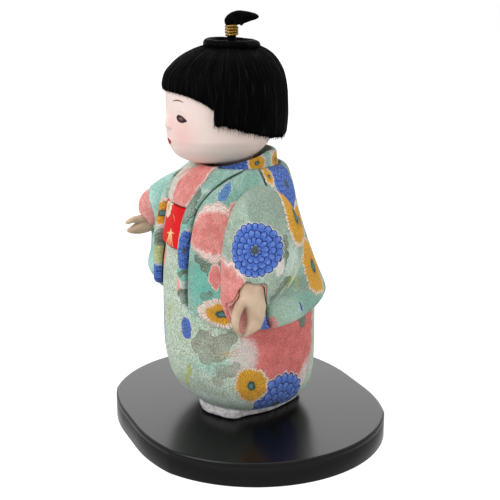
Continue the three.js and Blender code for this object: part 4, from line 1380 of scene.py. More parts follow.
LIME = dye("b3bd52")
OLIVE_LINE = dye("8fa06a")
JADE_LINE = dye("5d8675")
BROWN_LINE = dye("8b7a4c")
OCHRE = dye("c8974a")
CREAM_GOLD = dye("e6c88e")
# Pale green of the painted highlight along the left sleeve's lower edge
LIP_HIGHLIGHT = dye("d3e6c6")


# Printed crepe

class Print(Finish):
    """A pattern printed on crepe, one motif over another, in millimetres along and up the cloth."""

    def __init__(self, name, middle=None, radius=CLOTH_RADIUS):
        super().__init__(name)
        x, y, z = self.split(self.attribute("cloth"))
        if middle is not None:
            turn = math.radians(middle)
            across = x * math.cos(turn) + y * math.sin(turn)
            ahead = x * math.sin(turn) - y * math.cos(turn)
            x = across.math("ARCTAN2", across, ahead) * radius
        self.middle = middle
        self.radius = radius
        self.cloth = self.join(x, z)
        beside = self.join(x + 57.0, z)
        self.along = x + self.waver(self.cloth)
        self.up = z + self.waver(beside)
        self.drawn = self.join(self.along, self.up)
        self.colour = None

    def waver(self, place):
        """Uneven shift of the drawing, broad and fine."""
        broad = (self.noise(place, 0.4) - 0.5) * 1.6
        return broad + (self.noise(place, 1.9) - 0.5) * 0.7

    def place(self, where):
        """Place on the cloth of a flat place, or of an angle and a height."""
        if self.middle is None:
            return where
        return math.radians(float(wrap_angle(where[0] - self.middle))) * self.radius, where[1]

    def lay(self, colour, cover):
        self.colour = self.mix(self.colour, colour, cover)

    def polar(self, where, size, turn=0.0):
        """Share of the way out to a motif's edge, and the angle round it."""
        along, up = self.place(where)
        x = self.along - along
        y = self.up - up
        cosine = math.cos(math.radians(turn))
        sine = math.sin(math.radians(turn))
        x, y = (x * cosine + y * sine) / size[0], (y * cosine - x * sine) / size[1]
        return (x * x + y * y).root(), y.math("ARCTAN2", y, x)

    def meadow(self, low, high, line, busy):
        """Fine drawn grass on two soft tones."""
        tone = self.noise(self.cloth, 0.12)
        self.colour = self.mix(low, high, self.step(tone, 0.38, 0.62))
        grass = self.noise(self.join(self.along * 1.3 + self.up * 0.5, self.up * 0.5), 1.0, 3.0, 0.6)
        self.lay(line, self.step(abs(grass - 0.5), 0.045, 0.0) * busy)
        veins = self.cells(self.join(self.along, self.up * 0.6), 0.75, "DISTANCE_TO_EDGE")
        self.lay(line, self.step(veins, 0.07, 0.01) * busy)
        flecks = self.noise(self.drawn, 1.3, 2.0, 0.6)
        self.lay(line, self.step(flecks, 0.6, 0.68) * busy)
        self.lay(PALE_MINT, self.step(flecks, 0.38, 0.3) * 0.5)

    def blot(self, where, size, colour, share=1.0, turn=0.0, soft=0.35):
        away = self.polar(where, size, turn)[0]
        ragged = away + (self.noise(self.drawn, 0.9, 3.0) - 0.5) * soft
        self.lay(colour, self.step(ragged, 1 + soft * 0.5, 1 - soft * 0.5) * share)

    def mum(self, where, size, rings, inks, turn=0.0):
        """Chrysanthemum of small round petals lying in rings."""
        petal, edge, light, heart = inks
        step = self.step
        away, bearing = self.polar(where, size, turn)
        row = away * rings
        ring = row.floor().least(rings - 1.0)
        within = row - ring
        across = (bearing * (ring * 5 + 7) / (2 * math.pi) + ring * 0.37).part() - 0.5
        tip = 0.98 - across * across * 1.2
        beyond = step(within - tip, -0.04, 0.04)
        line = step(abs(within - tip), 0.15, 0.06)
        side = step(abs(across), 0.4, 0.47) * (1 - beyond) * step(within, 0.05, 0.2)
        fine = step(abs((across * 19).sine()), 0.55, 0.9)
        bright = step(within, 0.15, 0.8) * step(abs(across), 0.4, 0.2) * (1 - beyond) * fine
        colour = self.mix(petal, light, bright * 0.8)
        colour = self.mix(colour, edge, line.most(side))
        self.lay(WHITE_INK, step(row - rings + 1 - tip, 0.22, 0.1) * 0.8)
        self.lay(colour, step(row - rings + 1 - tip, 0.08, 0.0))
        self.lay(heart, step(away, 0.19, 0.13))
        self.lay(edge, step(abs(away - 0.07), 0.035, 0.01) * 0.5)

    def daisy(self, where, size, petals, inks, turn=0.0, rim=0.7):
        """Flower of one round of long petals with pale tips."""
        petal, line, pale, heart = inks
        step = self.step
        away, bearing = self.polar(where, size, turn)
        along_edge = where[0] * 3.7
        lobe = abs((bearing * (petals / 2)).cosine())
        tip = lobe.root() * 0.14 + 0.86
        uneven = (self.noise(self.join(bearing * 2.5, along_edge), 1.0, 1.0) - 0.5) * 0.3
        away = away + uneven * step(away, 0.3, 0.9)
        white = step(away - lobe * 0.1, rim - 0.08, rim + 0.08)
        groove = step(lobe, 0.45, 0.12) * step(away, 0.22, 0.4)
        vein = step(lobe, 0.9, 0.99) * step(away, 0.3, 0.5) * 0.35
        colour = self.mix(petal, line, step(away, 0.5, 0.2) * 0.5)
        colour = self.mix(colour, pale, white)
        colour = self.mix(colour, line, (groove * 0.75).most(vein))
        self.lay(colour, step(away - tip, 0.03, -0.03))
        self.lay(line, step(abs(away - tip), 0.035, 0.0) * 0.45)
        self.lay(heart[0], step(away, 0.27, 0.2))
        self.lay(heart[1], step(away, 0.15, 0.08))

    def peony(self, where, size, inks, turn=0.0, crimps=18, pale=0.74, ends=0.0):
        """Big soft flower with a crimped white edge, wider at its ends."""
        petal, deep, white, line = inks
        step = self.step
        away, bearing = self.polar(where, size, turn)
        away = away * ((bearing * 3 + 1).sine() * 0.05 + (bearing * 5).sine() * 0.03 + 1)
        crimp = 1 - abs((bearing * (crimps / 2) + (bearing * 2).sine()).sine())
        edge = away + crimp * 0.055
        tone = self.noise(self.drawn, 0.22)
        colour = self.mix(petal, deep, step(tone + away * 0.12, 0.72, 0.4))
        fade = away + (self.noise(self.join(bearing * 9, away * 2), 1.0) - 0.5) * 0.22
        fade = fade + crimp * 0.05 - (bearing * 2).cosine() * ends
        colour = self.mix(colour, white, step(fade, pale, 0.96) * 0.92)
        self.lay(WHITE_INK, step(edge, 1.06, 1.02) * 0.5)
        self.lay(colour, step(edge, 1.02, 0.98))
        self.lay(line, step(abs(edge - 0.99), 0.04, 0.005) * 0.6)
        inner = step(abs(edge - 0.9 + crimp * 0.04), 0.03, 0.005)
        self.lay(line, inner * step(fade, pale, 0.95) * 0.45)

    def leaf(self, lobes, inks=LEAF_INKS, share=1.0):
        """Leaf of round lobes, dotted with a darker tone."""
        tone, dark = inks
        step = self.step
        cover = None
        for angle, height, reach in lobes:
            near = 1 - self.polar((angle, height), (reach, reach))[0]
            cover = near if cover is None else cover.most(near)
        dots = step(self.noise(self.drawn, 2.3, 2.0, 0.7), 0.45, 0.56)
        fade = step(self.noise(self.cloth, 0.16), 0.35, 0.65) * 0.45 + 0.55
        colour = self.mix(self.mix(self.colour, tone, fade), dark, dots * fade)
        cover = cover + (self.noise(self.drawn, 1.1) - 0.5) * 0.16
        colour = self.mix(colour, dark, step(cover, 0.17, 0.03) * fade * 0.8)
        self.lay(colour, step(cover, -0.02, 0.05) * share)

    def rays(self, where, reach, toward, spread, colour, share):
        """Fine lines fanning out from a point."""
        away, bearing = self.polar(where, (reach, reach), toward)
        step = self.step
        bent = bearing + (self.noise(self.drawn, 0.5) - 0.5) * 0.3
        line = step(abs((bent * 26).sine()), 0.35, 0.1)
        line = line * step(away, 1.0, 0.6) * step(away, 0.02, 0.15)
        wide = math.radians(spread)
        self.lay(colour, line * step(abs(bearing), wide, wide * 0.7) * share)

    def stroke(self, start, end, width, colour, share=1.0):
        """Tapered brush stroke."""
        along, up = self.place(start)
        to_along, to_up = self.place(end)
        length = math.hypot(to_along - along, to_up - up) / 2
        turn = math.degrees(math.atan2(to_up - up, to_along - along))
        middle = ((start[0] + end[0]) / 2, (start[1] + end[1]) / 2)
        away = self.polar(middle, (length, width / 2), turn)[0]
        self.lay(colour, self.step(away, 1.15, 0.85) * share)

    def crepe(self, twill):
        """Finishes the cloth with its grain, with painted shade in the grain's hollows, along the twill and
        in soft patches, and returns the material.
        """
        x, z = self.split(self.cloth)[:2]
        pebble = self.step(self.noise(self.real_place(), 1.75, 3.0, 0.7), 0.3, 0.7)
        thread = ((x * 0.8 - z * 0.6) * (2 * math.pi / TWILL_PITCH)).sine() * 0.5 + 0.5
        height = pebble + thread * twill
        fold_shade = self.noise(self.cloth, 0.3)
        # Painted shade: the colour is darker in the hollows of the grain, between the ridges of the twill
        # and in broad soft patches standing for folds
        shade = pebble * 0.5 + fold_shade * 0.25 + thread * (twill * 0.3) + (0.69 - twill * 0.15)
        colour = self.times(self.colour, shade)
        rough = pebble * 0.12 + 0.78
        return self.surface(colour, rough, self.bump(height, 0.3, 0.9), {
            "Sheen Weight": 0.12, "Sheen Roughness": 0.5, "Specular IOR Level": 0.12})


def skirt_print():
    """Pale meadow with a big rose peony at the left side."""
    p = Print("skirt_crepe", 60)
    p.meadow(MINT, PALE_MINT, OLIVE_LINE, 0.75)
    p.blot((50, 27), (13, 4), TURQUOISE, 0.35, soft=0.8)
    p.blot((33, 56), (6, 9), TURQUOISE, 0.35, soft=0.8)
    p.blot((30, 16), (12, 6), SAGE, 0.4, soft=0.8)
    p.blot((-60, 60), (13, 8), TURQUOISE, 0.45, soft=0.8)
    p.peony((106, 41.5), (22, 29.5), DARK_ROSE_INKS, crimps=25, pale=0.83)
    p.peony((188, 48), (15, 14), ROSE_INKS, turn=20)
    p.peony((-78, 30), (14, 13), ROSE_INKS, turn=40)
    p.blot((123, 17), (3.6, 8), WHITE_INK, 0.7, turn=-20, soft=0.7)
    # Painted light: the hem paler across the front and the left side where light bounces up onto it
    p.blot((42, 8), (24, 5), PALE_MINT, 0.7, soft=0.8)
    p.blot((70, 31), (5.5, 9), dye("d4cbc6"), 0.85, turn=-15, soft=0.6)
    p.leaf([(35.5, 35.5, 3.7), (41, 38.5, 4.2), (42.5, 31.5, 3.8), (50, 35, 5.6), (56, 38.6, 3.6),
            (61, 40.4, 2.8)], PALE_LEAF_INKS)
    p.leaf([(54.5, 25.5, 3.2), (50.5, 21, 2.6), (60, 25.6, 2.8), (64.5, 28.5, 1.8)], PALE_LEAF_INKS, 0.85)
    p.leaf([(121, 43, 2.7), (118, 45, 2.2)])
    p.leaf([(210, 26, 4.5), (202, 31, 4.2), (198, 23, 3.6)], PALE_LEAF_INKS)
    p.leaf([(-48, 52, 4.2), (-40, 49, 3.8), (-42, 57, 3.4)])
    p.rays((70, 34.5), 20, 178, 34, BROWN_LINE, 0.65)
    p.rays((70, 34.5), 13, 178, 22, WHITE_INK, 0.5)
    p.rays((71, 28), 14, 196, 30, BROWN_LINE, 0.6)
    for angle in (20, 36, 52, 66):
        p.rays((angle, 2), 13, 92, 60, dye("4f7a5a"), 0.55)
    for end in (32.6, 34.4, 35.6):
        p.stroke((54, 33), (68, end), 0.45, OCHRE, 0.5)
    p.mum((25.1, 41.6), (3.1, 4.9), 3, BLUE_INKS)
    p.mum((-19, 36), (5.5, 13), 4, PALE_BLUE_INKS)
    p.mum((216, 54), (9, 9), 4, BLUE_INKS)
    p.mum((-110, 54), (8, 8), 4, BLUE_INKS)
    p.mum((102, 6), (14, 17), 4, DEEP_BLUE_INKS)
    p.daisy((75.6, 19), (7.8, 9.2), 19, YELLOW_INKS, turn=20, rim=0.8)
    p.daisy((172, 22), (8.5, 8.5), 24, YELLOW_INKS)
    p.daisy((-35, 20), (8, 8), 24, YELLOW_INKS)
    p.daisy((-140, 22), (8.5, 8), 24, YELLOW_INKS)
    p.stroke((25.9, 25.8), (24.5, 20), 2.4, LIME, 0.8)
    p.stroke((21.5, 21), (20.5, 14.5), 2.2, LIME, 0.8)
    p.stroke((7, 50), (3, 40), 2, LIME, 0.6)
    p.blot((-14, 66), (4.5, 5), ROSE_INKS[0], 0.9)
    return p.crepe(0.12)


def front_print(side):
    p = Print(f"jacket_front_crepe_{'left' if side > 0 else 'right'}", side * 67)
    p.meadow(JADE, PALE_JADE, JADE_LINE, 0.3)
    if side > 0:
        p.blot((50, 62), (9, 13), TURQUOISE, 0.75, soft=0.7)
        p.mum((55, 98.6), (4.0, 2.3), 2, TEAL_BLUE_INKS, turn=48)
        p.leaf([(40, 73, 2.2), (45.5, 70.5, 3), (49.5, 66.8, 2.2), (56.3, 73, 2.6), (60, 76, 2.6)])
        p.leaf([(44, 58, 1.8), (48, 59, 1.4)], share=0.8)
        p.peony((48.5, 83.3), (9.6, 11.6), ROSE_INKS, crimps=15, pale=0.76, ends=0.14)
        p.peony((63.5, 92), (2.6, 3.6), ROSE_INKS, crimps=10)
        p.peony((51.4, 66.2), (2.6, 5.2), ROSE_INKS, crimps=6, pale=0.86)
        p.daisy((56, 51.4), (10.4, 6.4), 24, YELLOW_INKS, rim=0.56)
        p.daisy((86, 70), (8, 8), 24, YELLOW_INKS)
        p.mum((84.5, 47), (2.4, 3.4), 2, DEEP_BLUE_INKS)
    else:
        p.blot((-48, 60), (10, 10), TURQUOISE, 0.7, soft=0.7)
        p.leaf([(-44, 64, 3), (-49, 61, 3), (-40, 60, 2.6)])
        p.leaf([(-74, 92, 3), (-68, 95, 2.6), (-66, 89, 2.6)])
        p.peony((-52, 76), (8.6, 9), ROSE_INKS, crimps=24)
        p.mum((-60, 96), (6.5, 5.5), 4, BLUE_INKS)
        p.daisy((-66, 57), (8, 7.5), 24, YELLOW_INKS)
        p.mum((-88, 66), (8, 8), 4, BLUE_INKS)
        p.stroke((-42, 90), (-45, 98), 2, LIME, 0.7)
    return p.crepe(0.55)


def placket_print(side):
    p = Print(f"placket_crepe_{'left' if side > 0 else 'right'}", side * 30)
    p.meadow(PALE_JADE, PALE_MINT, JADE_LINE, 0.3)
    if side > 0:
        p.blot((45, 103), (10, 4), JADE, 0.7)
        p.blot((25, 86), (4, 3), TURQUOISE, 0.6)
        p.leaf([(32.5, 97.2, 2.2), (29.5, 94.5, 2.8), (28.5, 90.5, 2.8), (27, 87.5, 2)])
        p.mum((28.3, 75), (2.7, 8.2), 4, BLUE_INKS)
        p.blot((26, 65), (4, 2.5), TURQUOISE, 0.7)
        p.leaf([(28, 66.3, 1.1), (26, 65.2, 1)])
        p.blot((24.4, 60), (1.8, 4.4), ROSE_INKS[2], 0.9)
        p.blot((24.4, 60), (1.2, 3.6), ROSE_INKS[0], 0.9)
        p.leaf([(27, 57.5, 1.9), (30, 55.5, 2.2), (33.5, 53, 2.2), (34.5, 50, 1.8)])
    else:
        p.leaf([(-22, 100.5, 2.2), (-21, 96.5, 2.2), (-20.5, 93, 1.6), (-30, 101, 2.6)])
        p.leaf([(-21, 76, 1.4), (-20.5, 72.5, 1.4)])
        p.daisy((-22, 84), (3.2, 6.5), 20, YELLOW_INKS)
        p.leaf([(-24, 74, 1.8), (-22, 71, 1.6)])
        p.blot((-24, 66), (3, 4), LIME, 0.7)
        p.mum((-26, 57), (4, 5), 4, BLUE_INKS)
    return p.crepe(0.45)


def back_print():
    p = Print("jacket_back_crepe", 180)
    p.meadow(SAGE, PALE_JADE, JADE_LINE, 0.35)
    # Painted shadow: darker jade on the back below the left sleeve's lower edge
    p.blot((112, 52), (14, 5), JADE, 0.8)
    p.blot((97, 50), (9, 7), dye("c3dcc8"), 0.6, soft=0.7)
    p.blot((190, 60), (16, 8), TURQUOISE, 0.5, soft=0.8)
    p.leaf([(112, 86, 3), (107, 90, 2.6), (116, 91, 2.4)], share=0.8)
    p.leaf([(165, 61, 4), (171, 66, 3.6), (160, 68, 3.4)])
    p.leaf([(240, 76, 3.6), (247, 72, 3.2), (236, 69, 3)])
    p.peony((186, 84), (13, 12), ROSE_INKS, crimps=30)
    p.peony((226, 92), (6, 6), ROSE_INKS)
    p.mum((124, 99.5), (12, 9.2), 5, BLUE_INKS, turn=-12)
    p.mum((213, 62), (10, 9), 5, BLUE_INKS)
    p.daisy((101, 103.2), (3, 3.6), 14, YELLOW_INKS)
    p.daisy((134, 84), (6.4, 9), 22, YELLOW_INKS)
    p.daisy((135, 65), (9.8, 12.8), 22, YELLOW_INKS, rim=0.82)
    p.daisy((158, 98), (6, 6), 22, YELLOW_INKS)
    p.daisy((256, 56), (8, 8), 24, YELLOW_INKS)
    p.mum((262, 98), (8, 7), 4, BLUE_INKS)
    p.stroke((109, 54), (111, 49.5), 0.9, dye("3f62a8"))
    for angle, height in ((104, 66), (110, 62), (118, 73), (148, 47), (200, 74)):
        p.stroke((angle, height + 3), (angle - 2, height - 3), 2, LIME, 0.5)
    p.blot((88.4, 46), (1.8, 4), ROSE_INKS[0], 0.9, turn=8)
    return p.crepe(0.3)


def neck_print():
    p = Print("neck_band_crepe", 180)
    p.meadow(PALE_JADE, PALE_MINT, JADE_LINE, 0.3)
    for middle in (54, -70):
        p.blot((middle, 107), (19, 5.4), WHITE_INK, 0.9, soft=0.3)
        p.mum((middle, 107.6), (17.5, 4.6), 3, BLUE_INKS)
    for middle in (96, 140, -128):
        p.daisy((middle, 107.4), (10, 3.6), 20, YELLOW_INKS)
    p.leaf([(-160, 105, 2.6), (-150, 104, 2.4)])
    return p.crepe(0.2)


def sleeve_print(name):
    p = Print(f"{name}_sleeve_crepe")
    if name == "left":
        p.meadow(dye("a3b5a4"), dye("b6cab9"), dye("7b957f"), 0.4)
        p.blot((-6, 97), (14, 10), SAGE, 0.8, soft=0.5)
        p.leaf([(-9, 99, 5), (-1, 96, 5), (-15, 94, 4), (2, 88, 3)], (dye("97a798"), dye("76897a")), 0.6)
        p.blot((2, 71), (5, 9), PALE_MINT, 0.5, soft=0.8)
        p.leaf([(-2, 83.5, 1.5), (-2.2, 81, 1.8), (-2.6, 77.6, 2.2), (-3.4, 74.4, 1.7)])
        p.leaf([(-3, 65, 1.9), (-1.4, 67.4, 1.6), (-5, 63.4, 1.5)])
        p.blot((-5, 72.5), (1.6, 3.6), WHITE_INK, 0.8, turn=-25)
        p.leaf([(-7.6, 59.8, 2), (-5, 61.5, 1.7)], share=0.9)
        p.leaf([(0.5, 66.5, 2.2), (1.4, 62.8, 1.8)], (dye("8ba05c"), dye("4c6331")), 0.9)
        p.stroke((3.2, 72), (2, 60), 2.2, LIME, 0.5)
        # Painted highlight: a pale line along the sleeve's lower back edge
        p.stroke((-8.8, 55), (1.5, 61), 1.3, LIP_HIGHLIGHT, 0.9)
        p.stroke((1.5, 61), (11, 76), 1.3, LIP_HIGHLIGHT, 0.9)
        p.daisy((8.8, 90.5), (8.6, 12.6), 26, YELLOW_INKS, rim=0.78)
        p.peony((-32, 54.5), (15, 21.5), ROSE_INKS, crimps=17, pale=0.86)
        p.peony((-12, 44), (9, 5), ROSE_INKS, crimps=14, pale=0.8)
        p.mum((-7.5, 46.5), (2.6, 3.2), 2, DEEP_BLUE_INKS)
        p.mum((-15.8, 80.2), (12.7, 10.4), 4, BLUE_INKS)
    else:
        p.meadow(dye("a5d3c8"), dye("c3e6df"), dye("7cb3a5"), 0.3)
        p.peony((-33, 80), (6.2, 9.2), ROSE_INKS, crimps=20, pale=0.85)
        p.blot((-21.5, 91.5), (4.5, 4), dye("e0dcb4"), 0.8)
        p.blot((-20, 90), (2, 2), OCHRE, 0.7)
        p.leaf([(-31, 71.5, 2.4), (-27, 70, 2)])
        p.stroke((-27, 64), (-28, 58.5), 3, LIME, 0.8)
        p.mum((-29, 53), (5.2, 6.4), 4, BLUE_INKS)
        p.daisy((-3, 74), (9, 9), 26, YELLOW_INKS)
        p.leaf([(-14, 84, 3), (-17, 80, 2.6), (-11, 80, 2.4)])
        p.peony((-14, 58), (8, 8), ROSE_INKS)
        p.mum((-1, 94), (6.5, 6), 4, BLUE_INKS)
    return p.crepe(0.12)


def collar_print(side):
    p = Print(f"kimono_collar_crepe_{'left' if side > 0 else 'right'}", 10)
    p.meadow(dye("dfdccb"), dye("e8ddd6"), OLIVE_LINE, 0.3)
    if side > 0:
        p.peony((14.5, 100.5), (9.6, 14), ROSE_INKS, turn=-35, crimps=14, pale=0.8)
    else:
        p.blot((-6, 101), (5, 3), ROSE_INKS[0], 0.6)
        p.leaf([(-8, 99, 2.4), (-13, 96.5, 2.4), (-3, 101.5, 2)])
    return p.crepe(0.3)


def lining_print(name):
    p = Print(f"{name}_lining_crepe")
    p.meadow(dye("e98f88"), dye("eea59c"), dye("f0c9c0"), 0.35)
    p.blot((-19, 44), (4, 3), dye("f0dcd4"), 0.7)
    return p.crepe(0.25)


def obi_print():
    """Red silk brocade with flowers in gold and cream."""
    p = Print("obi_brocade", 0)
    x, z = p.split(p.cloth)[:2]
    across = (x * (2 * math.pi / WARP_PITCH)).sine()
    weave = across * (z * (2 * math.pi / WEFT_PITCH)).sine() * 0.5 + 0.5
    p.colour = p.mix(dye("e01418"), dye("b80d12"), weave * 0.6)
    p.daisy((-7, 88.5), (4.6, 4.6), 12, BROCADE_INKS)
    p.blot((-14, 82), (1.6, 3.4), dye("9fb0bf"), 0.9)
    for lean in (-6, -2.4, 1.5, 5.6):
        p.stroke((5, 80.5), (5 + lean, 73.6), 0.75, CREAM_GOLD)
    p.stroke((-1, 78.4), (11, 79.6), 0.7, CREAM_GOLD)
    p.stroke((5, 86.5), (10, 84.4), 0.6, dye("d8a95e"), 0.7)
    rough = weave * 0.2 + 0.42
    return p.surface(p.colour, rough, p.bump(weave, 0.08, 0.6), {"Specular IOR Level": 0.14})


def foot_cloth():
    """White crepe, crumpled where it is wrapped, with painted shade in the crumples."""
    finish = Finish("foot_white_crepe")
    place = finish.real_place()
    crumple = finish.noise(place, 0.42, 4.0, 0.6)
    pebble = finish.noise(place, 2.0, 2.0, 0.6)
    # Painted shade: the white greyed in the hollows of the crumples, which also drive the bump
    colour = finish.mix(dye("a9a6a9"), dye("dcd9da"), finish.step(crumple, 0.35, 0.6))
    colour = finish.mix(colour, dye("c2bcb4"), finish.step(finish.noise(place, 0.16), 0.5, 0.7) * 0.5)
    bump = finish.bump(crumple + pebble * 0.12, 0.9, 0.8)
    return finish.surface(colour, 0.85, bump, {"Sheen Weight": 0.1})


# Painted face, hands, hair and stand

def face_gofun():
    """Shell white with painted brows, eyes and mouth, rouged cheeks, and painted shade towards the sides
    and the jaw.
    """
    p = Print("face_gofun", 0, FACE_RADIUS)
    step = p.step
    x, z = p.split(p.cloth)[:2]
    side = abs(x)
    bloom = p.noise(p.cloth, 0.35, 3.0)
    p.colour = p.mix(dye("efdcd5"), dye("e9d5cd"), bloom)

    def soft(along, up, wide, tall):
        a = (side - along) / wide
        b = (z - up) / tall
        return step((a * a + b * b).root(), 1.0, 0.0)

    # Painted shade: the shell white greyed towards the sides of the head and down under the jaw
    p.lay(dye("bcaaa2"), step(side, 8, 38) * step(z, 150, 112) * 0.42)
    p.lay(dye("e5a19e"), soft(10, 119.8, 12, 11) * 0.42)
    p.lay(dye("f0b4b0"), soft(3.6, 125, 3.4, 7) * 0.3)
    p.lay(dye("ecaaa5"), soft(0, 116.4, 5, 5) * 0.35)
    p.lay(dye("d89a94"), soft(2.2, 121.6, 1.6, 1.6) * 0.3)

    q = (side - BROW_SIDE) / BROW_HALF
    brow = abs(z - BROW_HEIGHT + q * q - q * 0.12)
    thick = (1 - q * q).most(0.0) * 0.3
    p.lay(dye("4f403a"), step(brow - thick, 0.12, -0.12) * step(thick, 0.02, 0.16) * 0.9)

    q = (side - EYE_SIDE) / EYE_HALF
    outer = q.most(0.0)
    inner = (0 - q).most(0.0)
    inside = (1 - outer ** 1.4).least(1 - inner ** 5).most(0.0)
    centre = EYE_HEIGHT - 0.1 - q * 0.4
    upper = centre + inside * 1.5
    lower = centre - inside * 1.35
    opening = (upper - z).least(z - lower)
    p.lay(dye("c99f97"), step(opening, -0.8, -0.05) * step(inside, 0.05, 0.4) * 0.3)
    p.lay(dye("2c1214"), step(opening, -0.14, 0.12) * step(inside, 0.0, 0.08))
    iris = (side - EYE_SIDE + 0.3) / 1.7
    rise = (z - EYE_HEIGHT - 0.15) / 0.85
    pupil = step((iris * iris + rise * rise).root(), 1.2, 0.2)
    p.lay(dye("7d5b5c"), pupil * step(opening, 0.1, 0.5) * 0.9)
    lid = abs(z - upper - 1.15 - inside * 0.2)
    p.lay(dye("c9a8a0"), step(lid, 0.3, 0.0) * step(inside, 0.05, 0.5) * 0.45)

    q = side / LIP_HALF
    bow = (1 - q * q).most(0.0)
    upper = LIP_HEIGHT + 0.25 + bow * 1.1 - step(side, 0.6, 0.0) * 0.35
    lower = LIP_HEIGHT + 0.25 - bow * 1.75
    opening = (upper - z).least(z - lower)
    p.lay(dye("a02f36"), step(opening, -0.25, 0.2) * step(bow, 0.0, 0.2))
    parting = step(abs(z - LIP_HEIGHT - 0.2 - q * q * 0.3), 0.22, 0.02)
    p.lay(dye("651a20"), parting * step(bow, 0.05, 0.4) * 0.85)

    grain = p.noise(p.real_place(), 1.6, 3.0)
    rough = grain * 0.12 + 0.42
    return p.surface(p.colour, rough, p.bump(grain, 0.02, 0.5), {
        "Subsurface Weight": 0.06, "Subsurface Radius": (0.004, 0.002, 0.001),
        "Subsurface Scale": 0.5, "Specular IOR Level": 0.18})


def hand_gofun(name):
    finish = Finish(f"{name}_hand_gofun")
    place = finish.real_place()
    tone = finish.noise(place, 0.16, 3.0)
    grain = finish.noise(place, 1.6, 3.0)
    colour = finish.mix(dye("bda188"), dye("cdb49c"), finish.step(tone, 0.35, 0.65))
    return finish.surface(colour, grain * 0.12 + 0.42, finish.bump(grain, 0.02, 0.5),
                          {"Specular IOR Level": 0.18})


def silk_hair(name, along=1.0):
    """Black silk, its hairs running down or along the piece, with painted sheen on them."""
    finish = Finish(f"{name}_silk")
    x, y, z = finish.split(finish.attribute("cloth"))
    round_it = x.math("ARCTAN2", x, 0 - y) * FACE_RADIUS
    bent = round_it + (finish.noise(finish.join(round_it * 0.1, z * 0.06), 1.0) - 0.5) * 3
    fine = finish.noise(finish.join(bent * 5.0 * along, z * 0.12 / along), 1.0, 2.0, 0.6)
    lock = finish.noise(finish.join(bent * 0.7 * along, z * 0.05 / along), 1.0, 2.0)
    # Painted shade and highlight: the black a little deeper in the grooves between the hairs, and lighter
    # streaks of painted sheen where locks and hairs rise
    colour = finish.mix(dye("020202"), dye("0a0909"), finish.step(fine, 0.4, 0.65))
    painted_sheen = finish.step(lock, 0.48, 0.66) * finish.step(fine, 0.5, 0.64)
    colour = finish.mix(colour, dye("1d1d1d"), painted_sheen)
    return finish.surface(colour, fine * 0.3 + 0.3, finish.bump(fine + lock * 0.6, 0.12, 0.9),
                          {"Specular IOR Level": 0.012})


def gold_cord():
    finish = Finish("gold_cord")
    place = finish.real_place()
    x, y, z = finish.split(place)
    turn = (y - KNOT_Y).math("ARCTAN2", y - KNOT_Y, x)
    twist = (turn * 14 + z * 9).sine() * 0.5 + 0.5
    dark_patches = finish.noise(place, 0.8, 2.0)
    # Painted shade: the plies darker in the grooves of the twist, where the bump also sinks
    colour = finish.mix(dye("6c470f"), dye("c09e50"), twist)
    # Darker in random patches
    colour = finish.mix(colour, dye("5e3c0c"), finish.step(dark_patches, 0.5, 0.66) * 0.6)
    return finish.surface(colour, twist * 0.12 + 0.16, finish.bump(twist + dark_patches, 0.1, 0.9),
                          {"Metallic": 0.95})


def black_lacquer():
    finish = Finish("black_lacquer")
    place = finish.real_place()
    cloud = finish.noise(place, 0.02, 3.0)
    specks = finish.step(finish.noise(place, 1.1, 1.0), 0.76, 0.8)
    colour = finish.mix(dye("050505"), dye("0b0b0c"), cloud)
    colour = finish.mix(colour, dye("4a4a4c"), specks * 0.4)
    swell = finish.noise(place, 0.25, 2.0)
    return finish.surface(colour, cloud * 0.1 + 0.2, finish.bump(swell, 0.01, 0.3),
                          {"Specular IOR Level": 0.19})


def peg_wood():
    finish = Finish("peg_wood")
    x, y, z = finish.split(finish.real_place())
    grain = finish.noise(finish.join(x * 2, y * 2, z * 0.15), 1.0, 4.0)
    colour = finish.mix(dye("c9a677"), dye("9c7443"), finish.step(grain, 0.35, 0.65))
    return finish.surface(colour, grain * 0.2 + 0.55, finish.bump(grain, 0.05, 0.6))


def pressed_composition():
    finish = Finish("pressed_composition")
    place = finish.real_place()
    chips = finish.cells(place, 0.9)
    tone = finish.noise(place, 0.6, 4.0)
    colour = finish.mix(dye("b89466"), dye("8f6c44"), finish.step(chips + tone * 0.5, 0.3, 0.9))
    return finish.surface(colour, tone * 0.15 + 0.8, finish.bump(tone, 0.2, 0.7))


def steel_wire():
    finish = Finish("steel_wire")
    drawn = finish.noise(finish.real_place(), 2.5, 2.0)
    colour = finish.mix(dye("8d9094"), dye("b9bcc0"), drawn)
    return finish.surface(colour, drawn * 0.15 + 0.25, finish.bump(drawn, 0.01, 0.5), {"Metallic": 1.0})


# Assembly

def dress(piece, name, body_name, finish, nodes):
    piece.name = name
    piece.data.name = name
    piece.data.materials.clear()
    piece.data.materials.append(finish)
    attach(piece, body_name)
    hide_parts(*nodes)


dress(display_stand(), "lacquered_stand", "doll", black_lacquer(), ["display_stand"])
dress(foot_block(), "foot_block_wrapped", "doll", foot_cloth(), ["foot_block"])
dress(skirt(), "kimono_skirt_cloth", "doll", skirt_print(), ["kimono_skirt"])
dress(obi(), "obi_cloth", "doll", obi_print(), ["obi_sash"])
for side, word in ((1, "left"), (-1, "right")):
    dress(kimono_collar(side), f"kimono_collar_{word}_cloth", "doll", collar_print(side),
          [f"kimono_collar_{word}"])
    dress(placket(side), f"jacket_placket_{word}_cloth", "doll", placket_print(side),
          [f"jacket_placket_{word}"])
    dress(jacket_front(side), f"jacket_front_{word}_cloth", "doll", front_print(side),
          [f"jacket_front_{word}"])
    dress(sleeve(word), f"{word}_sleeve_cloth", "doll", sleeve_print(word),
          [f"{word}_sleeve"])
    dress(hand(word), f"{word}_hand_carved", f"{word}_hand", hand_gofun(word),
          [f"{word}_hand"])
dress(left_lining(), "left_sleeve_lining_cloth", "doll", lining_print("left"),
      ["left_sleeve_lining"])
